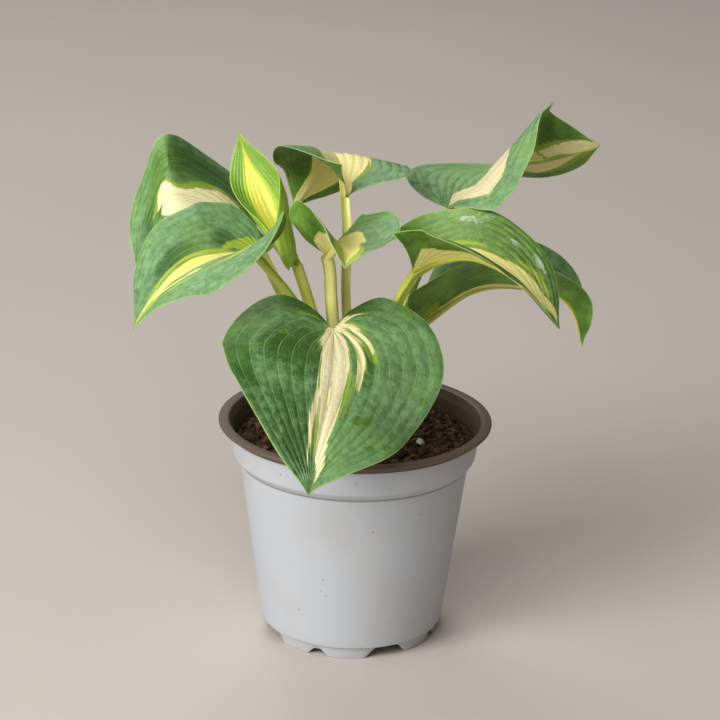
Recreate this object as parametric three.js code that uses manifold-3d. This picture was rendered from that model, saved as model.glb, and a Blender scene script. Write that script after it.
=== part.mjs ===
// A variegated hosta with nine leaves, standing in the soil of a round plastic nursery pot.
// Millimetres, +Z up. The origin is the centre of the pot's base on the floor, and the
// front of the plant faces -Y.

import * as THREE from 'three';
import { mergeVertices } from 'three/addons/utils/BufferGeometryUtils.js';
import Module from 'manifold-3d';

const wasm = await Module();
wasm.setup();

// ---- pot -------------------------------------------------------------------------------

const POT_SEGMENTS = 48;
const POT_HEIGHT = 107;
const RIM_RADIUS = 65;
const RIM_BORE_RADIUS = 60;
const RIM_THICKNESS = 1.6;
const SKIRT_RADIUS = 61.4;
const SKIRT_HEIGHT = 2.8;
const BAND_TOP_RADIUS = 59.4;
const BAND_FOOT_RADIUS = 57.8;
const BAND_FOOT_Z = 90;
const STEP_FOOT_Z = 86.5;
const WALL_TOP_RADIUS = 54.6;
const WALL_FOOT_RADIUS = 43.8;
const WALL_THICKNESS = 1.4;
const BASE_UNDERSIDE_Z = 5.2;
const BASE_THICKNESS = 1.2;
const BASE_ROUNDING = 1;
const RIM_ROUNDING = 0.5;

// Inside, the step in the wall sits a little higher than outside.
const INNER_STEP_LIFT = 0.5;

// The foot ring is cut by wide and narrow notches, so that it stands on short feet.
const FOOT_TOP_RADIUS = 42.4;
const FOOT_BOTTOM_RADIUS = 41.2;
const FOOT_THICKNESS = 1.6;
const CENTRE_PAD_RADIUS = 8;
const NOTCH_SETS = 4;
const WIDE_NOTCH = { angle: 25, footSpread: 30, topSpread: 16, height: BASE_UNDERSIDE_Z };
const NARROW_NOTCH = { angle: -22, footSpread: 14, topSpread: 5, height: 3.4 };
const DRAIN_HOLES = 8;
const DRAIN_HOLE_RADIUS = 4;
const DRAIN_CIRCLE_RADIUS = 33;
const DRAIN_HOLE_CORNERS = 12;

// How far a cutter passes the faces that it cuts.
const CUTTER_OVERRUN = 2;

// ---- soil ------------------------------------------------------------------------------

const CLEARANCE = 0.3;
const SOIL_EDGE_Z = 97;
const SOIL_CROWN_Z = 100.5;
const SOIL_SIDE_TOP_Z = 94;
const SOIL_SEGMENTS = POT_SEGMENTS / 2;
const SOIL_RINGS = 9;
const CRUMB_WAVES = [
  { height: 0.9, alongX: 0.31, alongY: 0.17, phase: 0.4 },
  { height: 0.7, alongX: -0.22, alongY: 0.39, phase: 1.9 },
  { height: 0.5, alongX: 0.55, alongY: -0.47, phase: 2.6 },
];
const STALK_FOOT_Z = 84;
const HOLE_TOP_Z = 112;
const HOLE_CORNERS = 10;

// ---- leaves ----------------------------------------------------------------------------

const BLADE_THICKNESS = 0.9;
const BLADE_COLUMNS = 10;
const BLADE_ROWS = 13;
const MIDRIB_SAMPLES = 64;
const RIB_REACH = 0.7;
const RIB_TIP_RADIUS = 0.5;
const STALK_STEPS = 11;
const RIB_STEPS = 6;
const SHEATH_SPREAD = 0.05;

// The rib tapers by this power of the way along it, lies under the blade by this share of its
// radius, and has lost the stalk's gutter by this share of its way.
const RIB_TAPER = 0.7;
const RIB_SINK = 0.4;
const GUTTER_END = 1 / 3;

// How fast the veins swing out from the midrib, and how fast a vein travels at the stalk.
const VEIN_SWEEP = 1.6;
const VEIN_START = 1.25;

// The left half's ripple runs ahead of the right half's by this angle in radians.
const RIPPLE_LEAD = 1.3;

// A half that doesn't curl has this bend, in radians a millimetre, so that none divides by 0.
const FLAT_BEND = 1e-5;

// A gathered blade has its full width after this share of its midrib.
const GATHER_END = 0.55;

// Half of a heart: how far out the margin is, and how far along the midrib, as shares of the
// blade's half width and length, from the stalk round the basal lobe to the tip.
const HEART = [
  [0, 0], [0.17, -0.10], [0.46, -0.17], [0.79, -0.09], [0.98, 0.09], [0.98, 0.29],
  [0.84, 0.50], [0.60, 0.70], [0.31, 0.86], [0.11, 0.945], [0, 1],
];

// A channelled stalk's section, across and up, as shares of its radius: a gutter that is open
// above. Under the blade the gutter closes to a flat-topped rib.
const GUTTER_SECTION = [
  [-1, 0.45], [-0.86, -0.4], [-0.45, -0.88], [0, -1], [0.45, -0.88], [0.86, -0.4], [1, 0.45],
  [0.42, 0.02], [-0.42, 0.02],
];
const RIB_SECTION = [
  [-0.8, 0.2], [-0.72, -0.3], [-0.42, -0.78], [0, -1], [0.42, -0.78], [0.72, -0.3], [0.8, 0.2],
  [0.4, 0.3], [-0.4, 0.3],
];

// The corners of either section lie within this share of its radius.
const SECTION_REACH = 1.1;

// Each leaf: the stalk's route from the soil, the midrib from the stalk to the tip, the way
// that the upper face looks at the stalk, and [left, right] of the blade seen from above with
// its tip away. fold is the slope of each half at the midrib and curl is how far it bends
// on towards the margin, in degrees at the base, the middle and the tip. twist turns the
// blade about its midrib at the middle and the tip. lobe scales the basal lobes, which a
// value of 0 or less turns into a straight or rounded base, and lobeLift raises them. gather
// is the share of its width that the blade keeps at the stalk. ripple waves the margin.
const LEAVES = [
  {
    name: 'leaf_front',
    stalkRadius: 3,
    stalk: [[0, -15, 98], [-3, -19, 128], [-8, -25, 151]],
    midrib: [[-11, -29, 161], [-10, -51, 156], [-12, -70, 143], [-16, -88, 127], [-20, -105, 110]],
    facing: [0.05, -0.2, 1],
    twist: [-13, -5],
    halfWidth: [53, 52],
    fold: [[18, -6, 23], [10, 14, 18]],
    curl: [[-40, -29, -3], [-21, -45, 12]],
    lobe: 1.4,
    lobeLift: 0.2,
    ripple: { height: 1.5, waves: 2 },
  },
  {
    name: 'leaf_centre',
    stalkRadius: 2.9,
    stalk: [[-2, -7, 98], [-8, -7, 128], [-12, -5, 165], [-13, -4, 180]],
    midrib: [[-15, -4, 189], [-11, -12, 195], [-9, -26, 199], [-6, -41, 201], [-6, -57, 199]],
    facing: [-0.05, -0.13, 1],
    twist: [-10, -7],
    halfWidth: [32, 28],
    fold: [[28, 5, 28], [64, 59, 55]],
    curl: [[3, -1, -35], [0, 0, 0]],
    lobe: 0.5,
  },
  {
    name: 'leaf_back',
    stalkRadius: 2.2,
    stalk: [[2, 9, 98], [-3, 10, 130], [-6, 12, 165], [-6, 15, 192]],
    midrib: [[-7, 20, 210], [-11, 35, 224], [-17, 51, 222], [-23, 59, 208], [-32, 60, 192]],
    facing: [0.2, -0.2, 0.95],
    twist: [0, 5],
    halfWidth: [33, 34],
    fold: [[75, 6, 30], [56, -3, 15]],
    curl: [[-20, -44, 0], [-36, -53, 7]],
    lobe: 0,
    ripple: { height: 1.2, waves: 2.5 },
  },
  {
    name: 'leaf_young',
    stalkRadius: 2.6,
    stalk: [[-5, 1, 98], [-13, 5, 128], [-21, 9, 155]],
    midrib: [[-29, 14, 177], [-37, 18, 191], [-45, 23, 206], [-52, 28, 222], [-58, 29, 238]],
    facing: [-0.16, -0.98, 0.1],
    twist: [10, -30],
    halfWidth: [21, 30],
    fold: [[34, 14, 2], [31, 5, 20]],
    curl: [[130, 105, 41], [150, 135, 20]],
    lobe: -0.3,
    gather: 0.5,
  },
  {
    name: 'leaf_left_front',
    stalkRadius: 2.8,
    stalk: [[-11, -7, 98], [-16, -7, 128], [-26, -7, 162]],
    midrib: [[-46, -8, 190], [-62, -19, 191], [-77, -26, 189], [-91, -34, 179], [-102, -42, 163]],
    facing: [0.07, -0.1, 1],
    twist: [-4, 11],
    halfWidth: [34, 35],
    fold: [[60, 23, 9], [21, 22, -7]],
    curl: [[4, -51, 24], [8, -14, -15]],
    lobe: 0.5,
  },
  {
    name: 'leaf_left_back',
    stalkRadius: 2.6,
    stalk: [[-11, 8, 98], [-20, 12, 128], [-37, 18, 163]],
    midrib: [[-50, 22, 189], [-71, 31, 202], [-90, 27, 207], [-95, 36, 193], [-107, 35, 169]],
    facing: [0.03, -0.5, 0.85],
    twist: [13, -39],
    halfWidth: [18, 40],
    fold: [[6, 10, 0], [-35, 3, 40]],
    curl: [[-10, -10, 0], [-58, 14, -55]],
    lobe: 0.4,
    ripple: { height: 2.3, waves: 2.15 },
  },
  {
    name: 'leaf_top_right',
    stalkRadius: 2.6,
    stalk: [[10, 9, 98], [15, 13, 132], [27, 22, 170]],
    midrib: [[42, 40, 200], [62, 55, 210], [78, 67, 216], [96, 78, 216], [117, 77, 223]],
    facing: [-0.54, 0, 0.84],
    twist: [-12, -56],
    halfWidth: [34, 47],
    fold: [[48, 17, -8], [13, 50, 64]],
    curl: [[-11, -7, -5], [-39, -68, 0]],
    lobe: 0.3,
  },
  {
    name: 'leaf_right_front',
    stalkRadius: 2.8,
    stalk: [[9, -7, 98], [12, -5, 130], [17, -3, 162]],
    midrib: [[25, -10, 183], [38, -9, 189], [54, -13, 191], [73, -18, 182], [93, -28, 163]],
    facing: [-0.25, -0.33, 0.9],
    twist: [11, 13],
    halfWidth: [32, 34],
    fold: [[12, 11, 11], [82, 70, 67]],
    curl: [[-7, -29, -16], [-13, -31, -26]],
    lobe: -0.15,
  },
  {
    name: 'leaf_right_back',
    stalkRadius: 2.6,
    stalk: [[14, 1, 98], [17, 5, 120], [24, 12, 141]],
    midrib: [[31, 18, 150], [55, 24, 164], [79, 29, 164], [100, 35, 155], [110, 41, 131]],
    facing: [-0.25, -0.04, 0.97],
    twist: [25, 16],
    halfWidth: [31, 30],
    fold: [[0, 40, 30], [62, 74, 50]],
    curl: [[-35, -22, -7], [-20, -13, -21]],
    lobe: 0.2,
  },
];

// ---- materials -------------------------------------------------------------------------

const POT_FINISH = { color: 0xb9bec4, roughness: 0.55 };
const SOIL_FINISH = { color: 0x3a2417, roughness: 0.95 };
const LEAF_FINISH = { color: 0x4f7d52, roughness: 0.5 };
const YOUNG_LEAF_FINISH = { color: 0x7f9c2a, roughness: 0.5 };

// ---- closed meshes and booleans --------------------------------------------------------

const WELD_DISTANCE = 1e-4;

function solidFrom(geometry) {
  const bare = geometry.clone();
  bare.deleteAttribute('normal');
  bare.deleteAttribute('uv');
  const merged = mergeVertices(bare, WELD_DISTANCE);
  const index = Array.from(merged.index.array);
  const triVerts = [];
  for (let i = 0; i < index.length; i += 3) {
    const [a, b, c] = index.slice(i, i + 3);
    if (a !== b && b !== c && c !== a) triVerts.push(a, b, c);
  }
  return new wasm.Manifold(new wasm.Mesh({
    numProp: 3,
    vertProperties: Float32Array.from(merged.attributes.position.array),
    triVerts: Uint32Array.from(triVerts),
  }));
}

function geometryFrom(solid) {
  const mesh = solid.getMesh();
  const geometry = new THREE.BufferGeometry();
  geometry.setAttribute('position', new THREE.BufferAttribute(mesh.vertProperties, 3));
  geometry.setIndex(new THREE.BufferAttribute(mesh.triVerts, 1));
  return geometry;
}

function meshGeometry(points, triangles) {
  const geometry = new THREE.BufferGeometry().setFromPoints(points);
  geometry.setIndex(triangles);
  return geometry;
}

// Turns a profile of [radius, z] round the Z axis.
function turned(profile, segments) {
  const points = profile.map(([radius, z]) => new THREE.Vector2(radius, z));
  return new THREE.LatheGeometry(points, segments).rotateX(Math.PI / 2);
}

// ---- pot -------------------------------------------------------------------------------

function wallBoreRadius(z) {
  const share = (z - BASE_UNDERSIDE_Z) / (STEP_FOOT_Z - BASE_UNDERSIDE_Z);
  return THREE.MathUtils.lerp(WALL_FOOT_RADIUS, WALL_TOP_RADIUS, share) - WALL_THICKNESS;
}

const FLOOR_Z = BASE_UNDERSIDE_Z + BASE_THICKNESS;
const INNER_STEP_TOP_Z = BAND_FOOT_Z + INNER_STEP_LIFT;
const INNER_STEP_FOOT_Z = STEP_FOOT_Z + INNER_STEP_LIFT;
const BAND_TOP_Z = POT_HEIGHT - RIM_THICKNESS - SKIRT_HEIGHT;
const BAND_BORE_FOOT = BAND_FOOT_RADIUS - WALL_THICKNESS;
const BAND_BORE_TOP = BAND_TOP_RADIUS - WALL_THICKNESS;

function potBody() {
  return turned([
    [0, 0],
    [CENTRE_PAD_RADIUS, 0],
    [CENTRE_PAD_RADIUS, BASE_UNDERSIDE_Z],
    [FOOT_TOP_RADIUS - FOOT_THICKNESS, BASE_UNDERSIDE_Z],
    [FOOT_BOTTOM_RADIUS - FOOT_THICKNESS, 0],
    [FOOT_BOTTOM_RADIUS, 0],
    [FOOT_TOP_RADIUS, BASE_UNDERSIDE_Z],
    [WALL_FOOT_RADIUS - BASE_ROUNDING / 2, BASE_UNDERSIDE_Z],
    [WALL_FOOT_RADIUS, BASE_UNDERSIDE_Z + BASE_ROUNDING],
    [WALL_TOP_RADIUS, STEP_FOOT_Z],
    [BAND_FOOT_RADIUS, BAND_FOOT_Z],
    [BAND_TOP_RADIUS, BAND_TOP_Z],
    [SKIRT_RADIUS, BAND_TOP_Z],
    [SKIRT_RADIUS, POT_HEIGHT - RIM_THICKNESS],
    [RIM_RADIUS - RIM_ROUNDING, POT_HEIGHT - RIM_THICKNESS],
    [RIM_RADIUS, POT_HEIGHT - RIM_THICKNESS / 2],
    [RIM_RADIUS - RIM_ROUNDING, POT_HEIGHT],
    [RIM_BORE_RADIUS, POT_HEIGHT],
    [BAND_BORE_TOP, BAND_TOP_Z],
    [BAND_BORE_FOOT, INNER_STEP_TOP_Z],
    [wallBoreRadius(STEP_FOOT_Z), INNER_STEP_FOOT_Z],
    [wallBoreRadius(FLOOR_Z), FLOOR_Z],
    [0, FLOOR_Z],
  ], POT_SEGMENTS);
}

// A wedge that leaves a trapezoid cut-out in the foot ring, widest on the floor.
function notchCutter({ angle, footSpread, topSpread, height }) {
  const reach = WALL_FOOT_RADIUS + CUTTER_OVERRUN;
  const halfFoot = Math.tan(THREE.MathUtils.degToRad(footSpread / 2)) * FOOT_BOTTOM_RADIUS;
  const halfTop = Math.tan(THREE.MathUtils.degToRad(topSpread / 2)) * FOOT_BOTTOM_RADIUS;
  const outline = new THREE.Shape([
    new THREE.Vector2(-halfFoot, -CUTTER_OVERRUN),
    new THREE.Vector2(halfFoot, -CUTTER_OVERRUN),
    new THREE.Vector2(halfFoot, 0),
    new THREE.Vector2(halfTop, height),
    new THREE.Vector2(-halfTop, height),
    new THREE.Vector2(-halfFoot, 0),
  ]);
  const start = CENTRE_PAD_RADIUS * 2;
  return new THREE.ExtrudeGeometry(outline, { depth: reach - start, bevelEnabled: false })
    .rotateX(Math.PI / 2)
    .translate(0, -start, 0)
    .rotateZ(THREE.MathUtils.degToRad(angle));
}

function drainCutter(turn) {
  const length = BASE_THICKNESS + 2 * CUTTER_OVERRUN;
  return new THREE.CylinderGeometry(DRAIN_HOLE_RADIUS, DRAIN_HOLE_RADIUS, length, DRAIN_HOLE_CORNERS)
    .rotateX(Math.PI / 2)
    .translate(DRAIN_CIRCLE_RADIUS, 0, BASE_UNDERSIDE_Z + BASE_THICKNESS / 2)
    .rotateZ(turn);
}

function potGeometry() {
  let pot = solidFrom(potBody());
  for (let set = 0; set < NOTCH_SETS; set += 1) {
    const turn = (360 / NOTCH_SETS) * set;
    for (const notch of [WIDE_NOTCH, NARROW_NOTCH]) {
      pot = pot.subtract(solidFrom(notchCutter({ ...notch, angle: notch.angle + turn })));
    }
  }
  for (let hole = 0; hole < DRAIN_HOLES; hole += 1) {
    pot = pot.subtract(solidFrom(drainCutter((2 * Math.PI * hole) / DRAIN_HOLES)));
  }
  return geometryFrom(pot);
}

// ---- leaves ----------------------------------------------------------------------------

function curveThrough(points) {
  const vectors = points.map((point) => new THREE.Vector3(...point));
  return new THREE.CatmullRomCurve3(vectors, false, 'catmullrom', 0.5);
}

// A value that runs smoothly through those at the blade's base, middle and tip.
function along([base, middle, tip], share) {
  const curve = curveThrough([[base, 0, 0], [middle, 0, 0], [tip, 0, 0]]);
  return curve.getPoint(THREE.MathUtils.clamp(share, 0, 1)).x;
}

const HEART_CURVE = curveThrough(HEART.map(([out, up]) => [out, up, 0]));

// The midrib with a frame at each step: ahead runs to the tip, up is the upper face's
// direction, and right points to the blade's right half.
class Midrib {
  constructor({ midrib, facing, twist }) {
    const curve = curveThrough(midrib);
    this.steps = [];
    this.length = 0;
    let up = new THREE.Vector3(...facing);
    for (let i = 0; i <= MIDRIB_SAMPLES; i += 1) {
      const at = curve.getPoint(i / MIDRIB_SAMPLES);
      const ahead = curve.getTangent(i / MIDRIB_SAMPLES);
      up = up.clone().addScaledVector(ahead, -up.dot(ahead)).normalize();
      if (i > 0) this.length += at.distanceTo(this.steps[i - 1].at);
      this.steps.push({ at, ahead, up, distance: this.length });
    }
    for (const step of this.steps) {
      const turn = THREE.MathUtils.degToRad(along([0, ...twist], step.distance / this.length));
      step.up = step.up.clone().applyAxisAngle(step.ahead, turn);
    }
  }

  // The frame at a distance from the stalk. Behind the stalk it runs straight on, lifted.
  frame(distance, lift = 0) {
    const inside = THREE.MathUtils.clamp(distance, 0, this.length);
    const after = this.steps.findIndex((step) => step.distance >= inside);
    const b = this.steps[Math.max(after, 1)];
    const a = this.steps[Math.max(after, 1) - 1];
    const share = (inside - a.distance) / (b.distance - a.distance);
    const at = a.at.clone().lerp(b.at, share);
    const ahead = a.ahead.clone().lerp(b.ahead, share).normalize();
    const up = a.up.clone().lerp(b.up, share);
    up.addScaledVector(ahead, -up.dot(ahead)).normalize();
    const behind = Math.min(distance, 0);
    at.addScaledVector(ahead, behind).addScaledVector(up, (lift * behind * behind) / this.length);
    return { at, ahead, up, right: ahead.clone().cross(up) };
  }
}

// A point of the blade's middle surface. side runs from -1 on the left margin to 1 on the
// right, and travel from 0 at the stalk to 1 at the tip, along the side's own vein.
function bladePoint(leaf, midrib, side, travel) {
  const margin = HEART_CURVE.getPoint(travel);
  const marginUp = margin.y < 0 ? margin.y * leaf.lobe : margin.y;
  const sweep = Math.abs(side) ** VEIN_SWEEP;
  const distance = (travel ** VEIN_START * (1 - sweep) + marginUp * sweep) * midrib.length;
  const half = side < 0 ? 0 : 1;
  const share = distance / midrib.length;
  const narrow = 1 - (leaf.gather ?? 1);
  const spread = 1 - narrow * THREE.MathUtils.clamp(1 - share / GATHER_END, 0, 1) ** 2;
  const width = leaf.halfWidth[half] * spread;
  const out = Math.abs(side) * margin.x * width;
  const fold = THREE.MathUtils.degToRad(along(leaf.fold[half], share));
  const bend = THREE.MathUtils.degToRad(along(leaf.curl[half], share)) / width || FLAT_BEND;
  const slope = fold + bend * out;
  const { at, up, right } = midrib.frame(distance, leaf.lobeLift ?? 0);
  const outward = right.multiplyScalar(side < 0 ? -1 : 1);
  const point = at.clone()
    .addScaledVector(outward, (Math.sin(slope) - Math.sin(fold)) / bend)
    .addScaledVector(up, (Math.cos(fold) - Math.cos(slope)) / bend);
  if (leaf.ripple) {
    const phase = 2 * Math.PI * leaf.ripple.waves * travel + (side < 0 ? RIPPLE_LEAD : 0);
    const rise = leaf.ripple.height * Math.sin(phase) * side * side * Math.sin(Math.PI * travel);
    point.addScaledVector(outward, -rise * Math.sin(slope)).addScaledVector(up, rise * Math.cos(slope));
  }
  return point;
}

// Both faces of the blade stand half the thickness off its middle surface and are split into
// triangles alike, and the rim closes them.
function bladeGeometry(leaf, midrib) {
  const rows = [];
  for (let row = 0; row <= BLADE_ROWS; row += 1) {
    const line = [];
    for (let column = 0; column <= BLADE_COLUMNS; column += 1) {
      line.push(bladePoint(leaf, midrib, (2 * column) / BLADE_COLUMNS - 1, row / BLADE_ROWS));
    }
    rows.push(line);
  }
  const points = [];
  for (const offset of [BLADE_THICKNESS / 2, -BLADE_THICKNESS / 2]) {
    rows.forEach((line, row) => line.forEach((point, column) => {
      const last = row === 0 || row === BLADE_ROWS;
      const normal = last
        ? midrib.frame(row === 0 ? 0 : midrib.length).up
        : surfaceNormal(rows, row, column);
      points.push(point.clone().addScaledVector(normal, offset));
    }));
  }
  const wide = BLADE_COLUMNS + 1;
  const layer = wide * (BLADE_ROWS + 1);
  const triangles = [];
  for (let row = 0; row < BLADE_ROWS; row += 1) {
    for (let column = 0; column < BLADE_COLUMNS; column += 1) {
      const a = row * wide + column;
      const [b, c, d] = [a + 1, a + wide, a + wide + 1];
      const mirrored = column < BLADE_COLUMNS / 2;
      const pairs = mirrored ? [[a, b, d], [a, d, c]] : [[a, b, c], [b, d, c]];
      for (const [p, q, r] of pairs) {
        triangles.push(p, q, r, layer + p, layer + r, layer + q);
      }
    }
    for (const column of [0, BLADE_COLUMNS]) {
      const a = row * wide + column;
      const c = a + wide;
      const rim = [a, c, layer + a, c, layer + c, layer + a];
      triangles.push(...(column === 0 ? rim : rim.reverse()));
    }
  }
  return meshGeometry(points, triangles);
}

function surfaceNormal(rows, row, column) {
  const across = rows[row][Math.min(column + 1, BLADE_COLUMNS)].clone()
    .sub(rows[row][Math.max(column - 1, 0)]);
  const ahead = rows[row + 1][column].clone().sub(rows[row - 1][column]);
  return across.cross(ahead).normalize();
}

// Sections of a stalk from its foot in the soil, up to the blade and on as the rib under it.
function stalkSections(leaf, midrib) {
  const radius = leaf.stalkRadius;
  const joint = midrib.frame(0);
  const shoulder = joint.at.clone().addScaledVector(joint.up, -radius / 2);
  const [footX, footY] = leaf.stalk[0];
  const route = curveThrough([[footX, footY, STALK_FOOT_Z], ...leaf.stalk, shoulder.toArray()]);
  const sections = [];
  const bend = new THREE.Quaternion().setFromUnitVectors(joint.ahead, route.getTangent(1));
  let up = joint.up.clone().applyQuaternion(bend);
  for (let i = STALK_STEPS; i >= 0; i -= 1) {
    const share = i / STALK_STEPS;
    const ahead = route.getTangent(share);
    up = up.clone().addScaledVector(ahead, -up.dot(ahead)).normalize();
    const wide = radius * (1 + SHEATH_SPREAD * (1 - share) ** 2);
    sections.unshift({ at: route.getPoint(share), ahead, up, radius: wide, closed: 0 });
  }
  for (let i = 1; i <= RIB_STEPS; i += 1) {
    const share = i / RIB_STEPS;
    const { at, ahead, up: above } = midrib.frame(share * RIB_REACH * midrib.length);
    const ribRadius = THREE.MathUtils.lerp(radius, RIB_TIP_RADIUS, share ** RIB_TAPER);
    at.addScaledVector(above, -RIB_SINK * ribRadius);
    const closed = Math.min(1, share / GUTTER_END);
    sections.push({ at, ahead, up: above, radius: ribRadius, closed });
  }
  sections[0].ahead.set(0, 0, 1);
  const shoulderRing = sections[STALK_STEPS];
  shoulderRing.ahead.add(joint.ahead).normalize();
  shoulderRing.up.add(joint.up).normalize();
  return sections;
}

// A closed skin over rings that all have the same corners; outline is one ring seen flat,
// which gives the end caps their triangles.
function skinOver(rings, outline) {
  const corners = outline.length;
  const triangles = [];
  for (let i = 0; i + 1 < rings.length; i += 1) {
    for (let k = 0; k < corners; k += 1) {
      const a = i * corners + k;
      const b = i * corners + ((k + 1) % corners);
      triangles.push(a, a + corners, b, b, a + corners, b + corners);
    }
  }
  const end = (rings.length - 1) * corners;
  const flat = outline.map(([x, y]) => new THREE.Vector2(x, y));
  for (const [a, b, c] of THREE.ShapeUtils.triangulateShape(flat, [])) {
    triangles.push(a, b, c, end + a, end + c, end + b);
  }
  return meshGeometry(rings.flat(), triangles);
}

// Places a flat outline of [across, up] corners square to a section's direction.
function ringAt({ at, ahead, up }, outline) {
  const right = ahead.clone().cross(up).normalize();
  const above = right.clone().cross(ahead).normalize();
  return outline.map(([x, y]) => at.clone().addScaledVector(right, x).addScaledVector(above, y));
}

function stalkGeometry(leaf, midrib) {
  const rings = stalkSections(leaf, midrib).map((section) => {
    const outline = GUTTER_SECTION.map((corner, k) => corner.map((value, axis) => (
      THREE.MathUtils.lerp(value, RIB_SECTION[k][axis], section.closed) * section.radius
    )));
    return ringAt(section, outline);
  });
  return skinOver(rings, GUTTER_SECTION);
}

function leafGeometry(leaf) {
  const midrib = new Midrib(leaf);
  const blade = solidFrom(bladeGeometry(leaf, midrib));
  return geometryFrom(blade.add(solidFrom(stalkGeometry(leaf, midrib))));
}

// ---- soil ------------------------------------------------------------------------------

function crumbHeight(x, y) {
  const share = Math.min(Math.hypot(x, y) / BAND_BORE_FOOT, 1);
  const mound = THREE.MathUtils.lerp(SOIL_CROWN_Z, SOIL_EDGE_Z, share * share);
  return CRUMB_WAVES.reduce((height, wave) => (
    height + wave.height * Math.sin(wave.alongX * x + wave.alongY * y + wave.phase)
  ), mound);
}

// A body that fills the pot, with a top of rings whose points are lifted to the crumbs.
function soilBlock() {
  const side = [
    [wallBoreRadius(FLOOR_Z) - CLEARANCE, FLOOR_Z + CLEARANCE],
    [wallBoreRadius(STEP_FOOT_Z) - CLEARANCE, INNER_STEP_FOOT_Z],
    [BAND_BORE_FOOT - CLEARANCE, INNER_STEP_TOP_Z],
    [BAND_BORE_FOOT - CLEARANCE, SOIL_SIDE_TOP_Z],
  ];
  const rings = Array.from({ length: SOIL_RINGS }, (unused, ring) => (
    [((BAND_BORE_FOOT - CLEARANCE) * (SOIL_RINGS - ring)) / SOIL_RINGS, SOIL_EDGE_Z]
  ));
  const block = turned([[0, FLOOR_Z + CLEARANCE], ...side, ...rings, [0, SOIL_EDGE_Z]], SOIL_SEGMENTS);
  const position = block.attributes.position;
  for (let i = 0; i < position.count; i += 1) {
    if (position.getZ(i) > (SOIL_SIDE_TOP_Z + SOIL_EDGE_Z) / 2) {
      position.setZ(i, crumbHeight(position.getX(i), position.getY(i)));
    }
  }
  return block;
}

// The plain hole that a stalk stands in, with a little room all round.
function holeCutter(leaf) {
  const inSoil = stalkSections(leaf, new Midrib(leaf)).filter(({ at }) => at.z < HOLE_TOP_Z);
  inSoil[0].at.z -= CLEARANCE;
  const circle = Array.from({ length: HOLE_CORNERS }, (unused, k) => {
    const turn = (2 * Math.PI * k) / HOLE_CORNERS;
    return [Math.cos(turn), Math.sin(turn)];
  });
  const rings = inSoil.map((section) => {
    const reach = (section.radius * SECTION_REACH + CLEARANCE) / Math.cos(Math.PI / HOLE_CORNERS);
    return ringAt(section, circle.map(([x, y]) => [x * reach, y * reach]));
  });
  return skinOver(rings, circle);
}

function soilGeometry() {
  const holes = LEAVES.map((leaf) => solidFrom(holeCutter(leaf)));
  return geometryFrom(holes.reduce((soil, hole) => soil.subtract(hole), solidFrom(soilBlock())));
}

// ---- the plant -------------------------------------------------------------------------

function piece(name, geometry, finish) {
  const mesh = new THREE.Mesh(geometry, new THREE.MeshStandardMaterial(finish));
  mesh.name = name;
  return mesh;
}

const group = new THREE.Group();
group.add(piece('pot', potGeometry(), POT_FINISH));
group.add(piece('soil', soilGeometry(), SOIL_FINISH));
for (const leaf of LEAVES) {
  const finish = leaf.name === 'leaf_young' ? YOUNG_LEAF_FINISH : LEAF_FINISH;
  group.add(piece(leaf.name, leafGeometry(leaf), finish));
}

export default group;
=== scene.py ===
"""A variegated hosta in a plastic nursery pot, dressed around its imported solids.

The scene is in metres with +Z up, and the front of the plant faces -Y. Leaf and pot measures
are held in millimetres, as a gardener would take them, and scaled once when a mesh is made.
"""

import logging
import math
import random
from collections.abc import Iterator
from dataclasses import dataclass, field
from enum import IntEnum, StrEnum

import bpy
import numpy as np
from mathutils import Matrix, Vector, noise


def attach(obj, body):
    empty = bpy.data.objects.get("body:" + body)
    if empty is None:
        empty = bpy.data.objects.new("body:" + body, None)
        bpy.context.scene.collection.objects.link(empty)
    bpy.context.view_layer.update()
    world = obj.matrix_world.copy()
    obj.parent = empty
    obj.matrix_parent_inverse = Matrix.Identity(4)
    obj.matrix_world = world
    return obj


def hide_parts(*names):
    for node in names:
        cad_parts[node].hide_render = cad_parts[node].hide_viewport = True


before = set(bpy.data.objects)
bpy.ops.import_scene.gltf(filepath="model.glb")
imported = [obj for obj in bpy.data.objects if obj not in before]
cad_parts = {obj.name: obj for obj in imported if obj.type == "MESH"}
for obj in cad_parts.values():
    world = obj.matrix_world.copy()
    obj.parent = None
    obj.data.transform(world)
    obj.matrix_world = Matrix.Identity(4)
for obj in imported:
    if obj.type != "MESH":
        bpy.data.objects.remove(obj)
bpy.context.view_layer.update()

log = logging.getLogger("hosta")

MM = 0.001
ROOT = "root"
NUDGE = 1e-3
NEARLY_FLAT = 1e-5
NEARLY_NOTHING = 1e-12
VEINS_PER_HALF = 8
SEED_STEP = 3.7

Triple = tuple[float, float, float]
Colour = Triple
Point = Triple
Station = tuple[float, float]
Pair = tuple[float, float]
Face = tuple[int, ...]


class LeafSlot(StrEnum):
    """The record's material slots of the leaves."""

    GROWN = "leaf"
    YOUNG = "young_leaf"


class LeafSide(IntEnum):
    """The materials of a leaf's mesh, in order."""

    BLADE = 0
    STALK = 1


class PotSide(IntEnum):
    """The materials of the pot's mesh, in order."""

    OUTSIDE = 0
    INSIDE = 1


class Grit(IntEnum):
    """The materials of the soil's mesh, in order."""

    PEAT = 0
    PERLITE = 1


# ---- plain mathematics -----------------------------------------------------------------


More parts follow.
